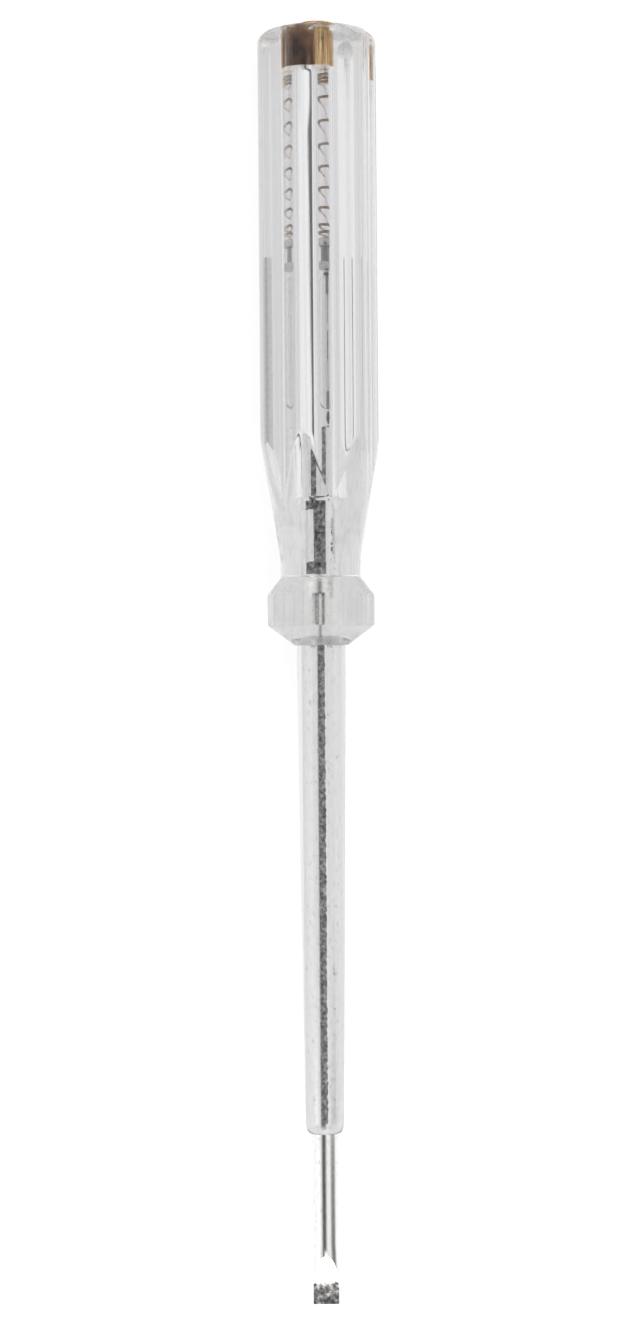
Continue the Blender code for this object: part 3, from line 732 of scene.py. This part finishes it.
def turned(name, profile, steps=96):
    """Spin a profile of (radius, station) pairs, in mm, round the tool's axis."""
    piece = chain(name, [(radius, station, 0) for radius, station in profile])
    bpy.ops.mesh.select_all(action="SELECT")
    bpy.ops.mesh.spin(steps=steps, angle=math.tau, center=(0, 0, AXIS), axis=(0, 1, 0))
    close_mesh()
    return piece


blade = turned("plated_blade", [
    (0, SHANK_REAR), (SHANK_RADIUS - REAR_CHAMFER, SHANK_REAR),
    (SHANK_RADIUS, SHANK_REAR - REAR_CHAMFER), (SHANK_RADIUS, TIP + LAST_RING),
    (SHANK_RADIUS, TIP), (0, TIP)], steps=128)
print("rod faces:", len(blade.data.polygons))

# %% [markdown]
# The tip is ground on two sides: first a slope, then two parallel lands. The grinding
# wheel is a cutter, and so will be the press. A cutter is a chain of edges again,
# closed to a face and extruded.

# %% Grind the tip
LAND_HALF = 0.4
LAND_LENGTH = 3.0
GRIND_LENGTH = 7.4
CUTTER_HALF = 3.0
OVERRUN = 1.0


def prism(name, outline, sweep):
    """Close a chain of corners to a face and extrude it, all in mm."""
    piece = chain(name, outline)
    bpy.ops.mesh.select_all(action="SELECT")
    bpy.ops.mesh.edge_face_add()
    move = [part * MM for part in sweep]
    bpy.ops.mesh.extrude_region_move(TRANSFORM_OT_translate={"value": move})
    close_mesh()
    return piece


def apply_modifier(piece, kind, **settings):
    """Add one modifier and apply it."""
    deselect()
    piece.select_set(True)
    bpy.context.view_layer.objects.active = piece
    step = piece.modifiers.new(kind.lower(), kind)
    for name, value in settings.items():
        setattr(step, name, value)
    bpy.ops.object.modifier_apply(modifier=step.name)


def carve(piece, tool, operation):
    """Cut or join one solid with another, and drop the tool."""
    apply_modifier(piece, "BOOLEAN", operation=operation, solver="EXACT", object=tool)
    bpy.data.objects.remove(tool, do_unlink=True)


rise = (SHANK_RADIUS - LAND_HALF) / (GRIND_LENGTH - LAND_LENGTH)
wheel_end = TIP + GRIND_LENGTH + OVERRUN / rise
for side in (1, -1):
    land = side * LAND_HALF
    outside = side * (SHANK_RADIUS + OVERRUN)
    wheel = prism("wheel", [
        (-CUTTER_HALF, TIP - OVERRUN, land), (-CUTTER_HALF, TIP + LAND_LENGTH, land),
        (-CUTTER_HALF, wheel_end, outside), (-CUTTER_HALF, TIP - OVERRUN, outside)],
        (2 * CUTTER_HALF, 0, 0))
    carve(blade, wheel, "DIFFERENCE")
print("ground tip: faces", len(blade.data.polygons))

# %% [markdown]
# In the neck the shank is pressed flat on two sides, and the metal that gives way stands
# up in two wings, which lock the blade in the plastic. A small bevel takes off every
# edge. Then the blade is turned to stand as it does in the handle, and the ground faces,
# which are those with many corners that look along the flat, get the ground steel.

# %% Press the shank and raise the wings
WING_HALF = 0.7
WING_REACH = 3.1
EDGE_BEVEL = 0.05
for side in (1, -1):
    near, far = side * FLAT_HALF, side * CUTTER_HALF
    press = prism("press", [
        (near, WING_LOW, -CUTTER_HALF), (far, WING_LOW, -CUTTER_HALF),
        (far, WING_HIGH, -CUTTER_HALF), (near, WING_HIGH, -CUTTER_HALF)],
        (0, 0, 2 * CUTTER_HALF))
    carve(blade, press, "DIFFERENCE")
wings = prism("wings", [
    (-WING_HALF, WING_LOW, -WING_REACH), (WING_HALF, WING_LOW, -WING_REACH),
    (WING_HALF, WING_HIGH, -WING_REACH), (-WING_HALF, WING_HIGH, -WING_REACH)],
    (0, 0, 2 * WING_REACH))
carve(blade, wings, "UNION")
apply_modifier(blade, "BEVEL", width=EDGE_BEVEL * MM, segments=2, limit_method="ANGLE",
               angle_limit=math.radians(25))
middle = Matrix.Translation((0, 0, AXIS))
blade.data.transform(middle @ Matrix.Rotation(BLADE_TURN, 4, "Y") @ middle.inverted())
smooth(blade, 20)
blade.data.materials.append(plate)
blade.data.materials.append(ground)
flat = Vector((math.sin(BLADE_TURN), 0, math.cos(BLADE_TURN)))
for face in blade.data.polygons:
    at_tip = face.center.y < (TIP + GRIND_LENGTH + 0.2) * MM
    if at_tip and abs(face.normal.dot(flat)) > 0.9 and len(face.vertices) > 4:
        face.material_index = 1
stands_for(blade, "handle_and_blade", "plated_steel", "blade")

# %% [markdown]
# ## The insulating sleeve
# A tube that tapers a little towards its rounded front end. It could be the shank's
# surface with a thickness, but a closed profile, spun like the rod, gives the taper
# and the round nose in one step. Its rear end sits tight in the guard.

# %% Turn the sleeve
SLEEVE_MIDDLE = (3.3, -30)
SLEEVE_TIP_RADIUS = 2.85
NOSE_ROUND = 0.6
NOSE_LENGTH = 1.8
nose = [(SLEEVE_TIP_RADIUS - NOSE_ROUND * (1 - math.cos(math.radians(swing))),
         SLEEVE_FRONT + NOSE_LENGTH * (1 - math.sin(math.radians(swing))))
        for swing in range(0, 91, 10)]
sleeve = turned("vinyl_sleeve", [
    (SLEEVE_RADIUS, SLEEVE_REAR), (SLEEVE_RADIUS, GUARD_FRONT), SLEEVE_MIDDLE, *nose,
    (HOLE_RADIUS, SLEEVE_FRONT), (HOLE_RADIUS, SLEEVE_REAR), (SLEEVE_RADIUS, SLEEVE_REAR)])
smooth(sleeve, 35)
sleeve.data.materials.append(vinyl)
stands_for(sleeve, "handle_and_blade", "sleeve_pvc", "insulating_sleeve")

# %% [markdown]
# ## The contact cap
# A short brass plug with a slot for a coin and a boss that holds the spring. Its barrel
# is pressed so tightly in the plastic that one sees the metal itself through the grip,
# with no gap of air. Its thread is too fine to be seen there, so the barrel is plain.

# %% Turn the cap and cut its slot
BARREL = TAPPED + 0.01
BARREL_EASE = 0.05
FACE_ROUND = 0.3
CHAMFER, CHAMFER_LENGTH = 0.4, 0.5
BOSS_RADIUS = 1.3
BOSS_ROUND = 0.5
SLOT_HALF = 0.45
SLOT_DEPTH = 0.8
SLOT_REACH = 4.0
CAP_BEVEL = 0.04
face_edge = (BARREL - BARREL_EASE - FACE_ROUND, CAP_TOP - FACE_ROUND)
boss_edge = (BOSS_RADIUS - BOSS_ROUND, BOSS_END + BOSS_ROUND)
cap = turned("brass_cap", [
    (0, CAP_TOP), *arc_points(face_edge, FACE_ROUND, math.pi / 2, 0, 5),
    (BARREL - BARREL_EASE, BUTT + 0.1), (BARREL, BUTT - 0.5),
    (BARREL, CAP_LOW + CHAMFER_LENGTH), (BARREL - CHAMFER, CAP_LOW),
    (BOSS_RADIUS, CAP_LOW), (BOSS_RADIUS, BOSS_END + BOSS_ROUND),
    *arc_points(boss_edge, BOSS_ROUND, 0, -math.pi / 2, 5), (0, BOSS_END)])
slot_floor = CAP_TOP - SLOT_DEPTH
slot = prism("slot", [
    (-SLOT_REACH, slot_floor, -SLOT_HALF), (-SLOT_REACH, CAP_TOP + OVERRUN, -SLOT_HALF),
    (-SLOT_REACH, CAP_TOP + OVERRUN, SLOT_HALF), (-SLOT_REACH, slot_floor, SLOT_HALF)],
    (2 * SLOT_REACH, 0, 0))
carve(cap, slot, "DIFFERENCE")
apply_modifier(cap, "BEVEL", width=CAP_BEVEL * MM, segments=2, limit_method="ANGLE",
               angle_limit=math.radians(40))
smooth(cap, 30)
cap.data.materials.append(brass)
stands_for(cap, "cap", "brass", "contact_cap")

# %% [markdown]
# ## The spring
# A coil of bronze wire: its first turn lies closed on the resistor, and its last two to
# three lie close together under the cap. The turns between lean a little, as the
# photograph shows. The stations of its turns are read from the photograph. The coil
# shortens when the cap or the lamp moves, so it is two pieces that meet in the middle.
# Each half is a curve with a round bevel, made a mesh.

# %% Wind the two halves of the spring
WIRE = 0.41
COIL_RADIUS = 2.1 - WIRE / 2
PER_TURN = 40
LEAN = 0.26
LEANING_FROM, LEANING_TO = 1.0, 8.6
TURNS_AT = (0, 1, 1.715, 2.715, 3.715, 4.715, 5.715, 6.715, 7.715, 8.4, 9.2, 11)
STATIONS = (63.425, 63.9, 64.7, 67.2, 70.15, 73.3, 76.6, 80.05, 83.5, 85.6, 86.1, 87.02)
TOTAL_TURNS = TURNS_AT[-1]


def coil_point(turn):
    """A point of the wire's middle line after a number of turns, in metres."""
    station = float(np.interp(turn, TURNS_AT, STATIONS))
    leaning = min(1, max(0, turn - LEANING_FROM)) * min(1, max(0, LEANING_TO - turn))
    angle = math.tau * turn
    station -= LEAN * leaning * COIL_RADIUS * math.cos(angle)
    return Vector((COIL_RADIUS * math.cos(angle) * MM, station * MM,
                   AXIS - COIL_RADIUS * math.sin(angle) * MM))


def wound(name, first, last):
    """Part of the coil between two counts of turns, as a mesh."""
    deselect()
    bpy.ops.curve.primitive_nurbs_path_add()
    path = bpy.context.active_object
    path.name = name
    count = round((last - first) * PER_TURN)
    path.data.splines.clear()
    spline = path.data.splines.new("POLY")
    spline.points.add(count)
    for step, point in enumerate(spline.points):
        point.co = (*coil_point(first + (last - first) * step / count), 1)
    path.data.dimensions = "3D"
    path.data.bevel_depth = WIRE / 2 * MM
    path.data.bevel_resolution = 4
    path.data.use_fill_caps = True
    bpy.ops.object.convert(target="MESH")
    made = bpy.context.active_object
    bpy.ops.object.mode_set(mode="EDIT")
    close_mesh()
    smooth(made, 40)
    made.data.materials.append(wire_bronze)
    return made


front_half = wound("spring_front_half", 0, TOTAL_TURNS / 2)
rear_half = wound("spring_rear_half", TOTAL_TURNS / 2, TOTAL_TURNS)
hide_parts("spring")
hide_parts("spring")
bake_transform(front_half)
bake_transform(rear_half)
print("spring faces:", len(front_half.data.polygons) + len(rear_half.data.polygons))

# %% [markdown]
# ## The resistor
# A lacquered carbon rod with a pressed cup on each end. The cup is a thin shell with
# a round edge and a turned-in lip, so it is spun from a closed profile too. The second
# cup is the first one with its profile turned round.

# %% Turn the resistor
ROD_RADIUS = 1.7
ROD_CHAMFER = 0.2
ROD_INSET = 0.35
CUP_RADIUS = 2.05
CUP_ROUND = 0.3
CUP_LENGTH = 1.2
CUP_WALL = 0.25
LIP = 0.05
rod_high, rod_low = RESISTOR_HIGH - ROD_INSET, RESISTOR_LOW + ROD_INSET
rod = turned("resistor_rod", [
    (0, rod_high), (ROD_RADIUS - ROD_CHAMFER, rod_high), (ROD_RADIUS, rod_high - ROD_CHAMFER),
    (ROD_RADIUS, rod_low + ROD_CHAMFER), (ROD_RADIUS - ROD_CHAMFER, rod_low), (0, rod_low)], 64)
smooth(rod, 50)
rod.data.materials.append(lacquer)
stands_for(rod, "lamp_stack", "resistor_lacquer", "resistor_body")
cup_inside = CUP_RADIUS - CUP_WALL
cup_profile = [
    (0, 0), *[(CUP_RADIUS - CUP_ROUND * (1 - math.sin(math.radians(swing))),
               CUP_ROUND * (1 - math.cos(math.radians(swing)))) for swing in range(0, 91, 18)],
    (CUP_RADIUS, CUP_LENGTH - 0.08), (CUP_RADIUS - LIP, CUP_LENGTH),
    (cup_inside + LIP, CUP_LENGTH), (cup_inside, CUP_LENGTH - LIP), (cup_inside, CUP_WALL),
    (0, CUP_WALL)]
for node, end, side in (("resistor_cup_rear", RESISTOR_HIGH, -1),
                        ("resistor_cup_front", RESISTOR_LOW, 1)):
    cup = turned(node + "_shell", [(radius, end + side * depth) for radius, depth in cup_profile],
                 64)
    smooth(cup, 40)
    cup.data.materials.append(tin)
    stands_for(cup, "lamp_stack", "tinned_steel", node)

# %% [markdown]
# ## The neon lamp
# A glass tube, drawn in at both ends round a fused bead. The tube's wall has an outer
# and an inner skin, so it refracts as a tube and not as a rod.

# %% Turn the lamp
LAMP_RADIUS = 2.0
LAMP_WALL = 0.35
DRAWN_LENGTH = 1.2
OUTER_MOUTH = 1.28
INNER_MOUTH = 1.1
STEM_LENGTH = 2.6
STEM_RADIUS = 1.0
STEM_HOLE = 0.3
MELTED, MELTED_LENGTH = 0.15, 0.25


def shoulder(mouth, full, end, side):
    """The drawn-in end of a tube, from its mouth to its full radius."""
    return [(mouth + (full - mouth) * math.sin(math.radians(swing)),
             end + side * DRAWN_LENGTH * (1 - math.cos(math.radians(swing))))
            for swing in range(0, 91, 10)]


outer = shoulder(OUTER_MOUTH, LAMP_RADIUS, LAMP_HIGH, -1)
outer += shoulder(OUTER_MOUTH, LAMP_RADIUS, LAMP_LOW, 1)[::-1]
hollow = shoulder(INNER_MOUTH, LAMP_RADIUS - LAMP_WALL, LAMP_LOW, 1)
hollow += shoulder(INNER_MOUTH, LAMP_RADIUS - LAMP_WALL, LAMP_HIGH, -1)[::-1]
tube = turned("lamp_tube", [*outer, *hollow, outer[0]], 80)
smooth(tube, 50)
tube.data.materials.append(tube_glass)
stands_for(tube, "lamp_stack", "lamp_glass", "lamp_glass")
for node, low in (("lamp_stem_rear", LAMP_HIGH - STEM_LENGTH), ("lamp_stem_front", LAMP_LOW)):
    high = low + STEM_LENGTH
    seal = turned(node + "_bead", [
        (STEM_HOLE, high), (STEM_RADIUS - MELTED, high - 0.05),
        (STEM_RADIUS, high - MELTED_LENGTH), (STEM_RADIUS, low + MELTED_LENGTH),
        (STEM_RADIUS - MELTED, low + 0.05), (STEM_HOLE, low), (STEM_HOLE, high)], 48)
    smooth(seal, 50)
    seal.data.materials.append(bead)
    stands_for(seal, "lamp_stack", "bead_glass", node)

# %% [markdown]
# Each bead holds a lead with its electrode: a thin one at the rear and a thicker one in
# front, with a gap between them where the gas glows. A disc of solder ends the rear
# lead, and a round pip ends the front one, on the blade's rear end.

# %% Turn the electrodes and contacts
LEAD = 0.2
THIN_ROD, THIN_LENGTH = 0.3, 4.3
THICK_ROD, THICK_LENGTH = 0.45, 4.3
GLOW_GAP = 1.2
DISC_RADIUS = 1.3
PIP_RADIUS = 1.05
BREAK = 0.1
rear_tip = LAMP_HIGH - STEM_LENGTH - THIN_LENGTH
rear = turned("rear_electrode", [
    (0, LAMP_HIGH), (LEAD, LAMP_HIGH), (LEAD, rear_tip + THIN_LENGTH),
    (THIN_ROD, rear_tip + THIN_LENGTH - BREAK), (THIN_ROD, rear_tip + BREAK),
    (THIN_ROD - BREAK, rear_tip), (0, rear_tip)], 32)
front_tip = rear_tip - GLOW_GAP
front = turned("front_electrode", [
    (0, front_tip), (THICK_ROD - 0.07, front_tip), (THICK_ROD, front_tip - 0.08),
    (THICK_ROD, front_tip - THICK_LENGTH + 2 * BREAK), (LEAD, front_tip - THICK_LENGTH),
    (LEAD, LAMP_LOW), (0, LAMP_LOW)], 32)
disc = turned("rear_contact_disc", [
    (0, DISC_HIGH), (DISC_RADIUS - BREAK, DISC_HIGH), (DISC_RADIUS, DISC_HIGH - BREAK),
    (DISC_RADIUS, DISC_LOW + BREAK), (DISC_RADIUS - BREAK, DISC_LOW), (0, DISC_LOW)], 48)
half = (PIP_HIGH - PIP_LOW) / 2
pip = turned("front_contact_pip", [
    (PIP_RADIUS * math.sin(math.radians(swing)),
     PIP_LOW + half + half * math.cos(math.radians(swing))) for swing in range(0, 181, 10)], 48)
for piece, metal, slot_name, node in (
        (rear, nickel, "nickel", "electrode_rear"),
        (front, nickel, "nickel", "electrode_front"),
        (disc, solder, "solder", "lamp_contact_rear"),
        (pip, solder, "solder", "lamp_contact_front")):
    smooth(piece, 50)
    piece.data.materials.append(metal)
    stands_for(piece, "lamp_stack", slot_name, node)

# %% [markdown]
# ## The table
# The table is white. To the camera, and in what metal and glass show, it glows at the
# level of white paper, less a share that comes from true light: that share keeps the
# object's shadow. Through the clear pieces it glows a little less, because the light
# that falls under them has passed them once already.

# %% The floor
GLOW_OPEN, GLOW_THROUGH = 0.79, 0.62
SHADED_SHARE = 0.25
deselect()
bpy.ops.mesh.primitive_plane_add(size=20)
floor = bpy.context.active_object
floor.name = "floor"
paper, tree = new_material("white_paper")
rays = add(tree, "LightPath").outputs
seen = joined(tree, [rays["Is Camera Ray"], rays["Is Glossy Ray"], rays["Is Transmission Ray"]])
matt = add(tree, "BsdfDiffuse", {"Color": linear("#E4E4E3")})
shown_matt = add(tree, "BsdfDiffuse", {"Color": (SHADED_SHARE, SHADED_SHARE, SHADED_SHARE, 1)})
strength = add(tree, "Mix", {"Factor": rays["Is Transmission Ray"], "A": GLOW_OPEN,
                             "B": GLOW_THROUGH})
glow = add(tree, "Emission", {"Color": (1, 1, 1, 1), "Strength": strength})
shown = add(tree, "AddShader", {0: shown_matt, 1: glow})
add(tree, "OutputMaterial", {
    "Surface": add(tree, "MixShader", {"Fac": seen, 1: matt, 2: shown})})
floor.data.materials.append(paper)
print("floor:", paper.name)

# %% [markdown]
# ## Cards that only the clear pieces show
# The grip bends the view far sideways. One flute looks along the table to the left,
# at a black card that gives the fine black line beside the spring. Near the tool it
# looks at the seam where the ridges rest on the table and little light gets in: three
# thin grey strips under the grip are a painted contact shadow there. Neither the camera
# nor the light sees the card or the strips.

# %% Dark cards beside and under the grip
def card(name, across, width, low, high, height, tones, glow=0.0):
    """A strip of card that only the clear pieces show, with its sizes in mm."""
    deselect()
    bpy.ops.mesh.primitive_plane_add(size=1)
    made = bpy.context.active_object
    made.name = name
    made.data.transform(Matrix.Translation((across * MM, (low + high) / 2 * MM, height * MM))
                        @ Matrix.Diagonal((width * MM, (high - low) * MM, 1, 1)))
    material, tree = new_material(name)
    fibres = grain(tree, (2.0, 2.0, 2.0), seed=13.0)
    grey = add(tree, "ValToRGB", {"Fac": fibres}, [(0.3, tones[0]), (0.7, tones[1])])
    surface(tree, {"Base Color": grey, "Roughness": 0.9,
                   "Emission Color": grey, "Emission Strength": glow})
    made.data.materials.append(material)
    made.visible_camera = False
    made.visible_shadow = False
    made.visible_diffuse = False
    print(name, "width: %.2f mm" % width)


card("black_card", across=-28.7, width=3.2, low=26, high=98, height=0.5,
     tones=("#3A3A3B", "#484849"))
# Three strips of painted contact shadow under the grip's lowest ridges.
card("left_shade", across=-3.48, width=0.5, low=32, high=61, height=0.03,
     tones=("#BEBEBF", "#CACACB"), glow=0.56)
card("left_contact_shadow", across=-3.7, width=0.1, low=32, high=61, height=0.04,
     tones=("#A6A6A7", "#B4B4B5"), glow=0.56)
card("right_contact_shadow", across=2.98, width=0.2, low=32, high=61, height=0.03,
     tones=("#A0A0A1", "#B0B0B1"))

# %% [markdown]
# ## The room
# What metal and plastic mirror is mostly the room. It is white towards the tip, less so
# towards the butt, and brighter low on the left. Two dark bands stand in it on the
# tip's side: one overhead, where the camera hangs, and one low on the right. A picture
# of a studio could give all this, but the tool then would depend on a file, so the room
# is a few soft steps over two angles: across the tool and along it.

# %% The room
ROOM = 0.88
LEFT_GLOW = 1.3
BANDS_END = (-0.42, -0.32)
VIEW_TURN = math.radians(-12.6)
rightward = (math.cos(VIEW_TURN), 0, -math.sin(VIEW_TURN))
upward = (math.sin(VIEW_TURN), 0, math.cos(VIEW_TURN))
world = bpy.data.worlds.new("studio")
bpy.context.scene.world = world
world.use_nodes = True
tree = world.node_tree
tree.nodes.clear()
direction = add(tree, "TexCoord").outputs["Generated"]
beyond = add(tree, "SeparateXYZ", {"Vector": direction}).outputs["Y"]
aside = add(tree, "VectorMath", {0: direction, 1: rightward}, operation="DOT_PRODUCT")
above = add(tree, "VectorMath", {0: direction, 1: upward}, operation="DOT_PRODUCT")
across = add(tree, "Math", {0: aside, 1: above}, operation="ARCTAN2")


def shade(centre, full, none, depth, near, far):
    """One darker band of the room, round an angle across, towards the tip."""
    off = add(tree, "Math", {0: across, 1: math.radians(centre)}, operation="SUBTRACT")
    off = add(tree, "Math", {0: off}, operation="ABSOLUTE")
    band = add(tree, "MapRange", {"Value": off, "From Min": math.radians(full),
                                  "From Max": math.radians(none), "To Min": depth,
                                  "To Max": 0.0}, interpolation_type="SMOOTHSTEP")
    ends = [add(tree, "MapRange", {"Value": beyond, "From Min": low, "From Max": high,
                                   "To Min": start, "To Max": 1.0 - start},
                interpolation_type="SMOOTHSTEP")
            for low, high, start in ((far, near, 1.0), (*BANDS_END, 0.0))]
    there = add(tree, "Math", {0: ends[0], 1: ends[1]}, operation="MULTIPLY")
    taken = add(tree, "Math", {0: band, 1: there}, operation="MULTIPLY")
    return add(tree, "Math", {0: 1.0, 1: taken}, operation="SUBTRACT")


left_low = add(tree, "MapRange", {"Value": across, "From Min": math.radians(-62),
                                  "From Max": math.radians(-42), "To Min": LEFT_GLOW,
                                  "To Max": 1.0}, interpolation_type="SMOOTHSTEP")
tip_side = add(tree, "MapRange", {"Value": beyond, "From Min": -0.12, "From Max": -0.02,
                                  "To Min": 1.0, "To Max": 0.0},
               interpolation_type="SMOOTHSTEP")
level = add(tree, "Mix", {"Factor": tip_side, "A": ROOM, "B": left_low})
for band in (shade(centre=-13, full=6, none=31, depth=0.9, near=0.03, far=-0.002),
             shade(centre=68, full=8, none=34, depth=0.8, near=-0.10, far=-0.14)):
    level = add(tree, "Math", {0: level, 1: band}, operation="MULTIPLY")
camera_ray = add(tree, "LightPath").outputs["Is Camera Ray"]
strength = add(tree, "Mix", {"Factor": camera_ray, "A": level, "B": 1.0})
sky = add(tree, "Background", {"Color": (1, 1, 1, 1), "Strength": strength})
add(tree, "OutputWorld", {"Surface": sky})
print("room nodes:", len(tree.nodes))

# %% [markdown]
# ## The soft boxes
# Three soft boxes light the tool: a long one low on the left, a narrow one overhead,
# and one beyond the tip. Only the last one is mirrored, as the sheen on the ground
# tip. The others would stand in the plastic as shapes with hard edges, and the
# photograph has none.

# %% The soft boxes
def soft_box(name, across, beyond, distance, width, length, level):
    """A soft box that faces the tool.

    It stands across degrees to the right of straight up and beyond degrees towards
    the butt, and its light is level times that of white paper in full light.
    """
    turn = math.radians(across)
    tilt = math.radians(beyond)
    towards = Vector((math.sin(turn) * math.cos(tilt), math.sin(tilt),
                      math.cos(turn) * math.cos(tilt)))
    data = bpy.data.lights.new(name, "AREA")
    data.shape = "RECTANGLE"
    data.size = width
    data.size_y = length
    data.energy = level * math.pi * width * length
    made = bpy.data.objects.new(name, data)
    bpy.context.scene.collection.objects.link(made)
    made.visible_camera = False
    made.visible_glossy = False
    made.visible_transmission = False
    side = Vector((math.cos(turn), 0, -math.sin(turn)))
    basis = Matrix((side, towards.cross(side), towards)).transposed().to_4x4()
    made.matrix_world = Matrix.Translation(Vector((0, 0, AXIS)) + towards * distance) @ basis
    return made


soft_box("left_box", across=-74, beyond=0, distance=1.0, width=0.60, length=2.4, level=1.8)
soft_box("top_strip", across=14.5, beyond=0, distance=1.0, width=0.33, length=2.4, level=1.6)
foot = soft_box("foot_box", across=-12.6, beyond=-52, distance=1.0, width=1.2, length=0.6,
                level=1.6)
foot.visible_glossy = True

# %% [markdown]
# ## Camera
# The photograph looks straight down on the tool's middle, a little from the left of
# the upper flute, so the crest of a ridge is seen left of the axis. Its perspective
# fits a camera about 41 cm away, and the tool leans by half a degree in the picture.
# Light has to pass many walls of plastic and glass, so many bounces are allowed.

# %% The camera
ROLL = math.radians(0.45)
DISTANCE = 411
SIDE_STEP = -0.52
BOUNCES = 24
back = Vector(upward)
right = Vector(rightward)
ahead = Vector((0, 1, 0))
tilted_right = right * math.cos(ROLL) - ahead * math.sin(ROLL)
tilted_up = ahead * math.cos(ROLL) + right * math.sin(ROLL)
lens = bpy.data.cameras.new("camera")
lens.sensor_width = 36
lens.lens = 75
lens.clip_start = 0.01
lens.clip_end = 100
camera = bpy.data.objects.new("camera", lens)
bpy.context.scene.collection.objects.link(camera)
place = Vector((0, 0, AXIS)) + (back * DISTANCE + tilted_right * SIDE_STEP) * MM
basis = Matrix((tilted_right, tilted_up, back)).transposed().to_4x4()
camera.matrix_world = Matrix.Translation(place) @ basis
bpy.context.scene.camera = camera
bpy.context.scene.view_settings.view_transform = "Standard"
bpy.context.scene.cycles.max_bounces = BOUNCES
bpy.context.scene.cycles.glossy_bounces = 16
bpy.context.scene.cycles.transmission_bounces = BOUNCES
print("camera height: %.0f mm" % (camera.matrix_world.translation.z / MM))
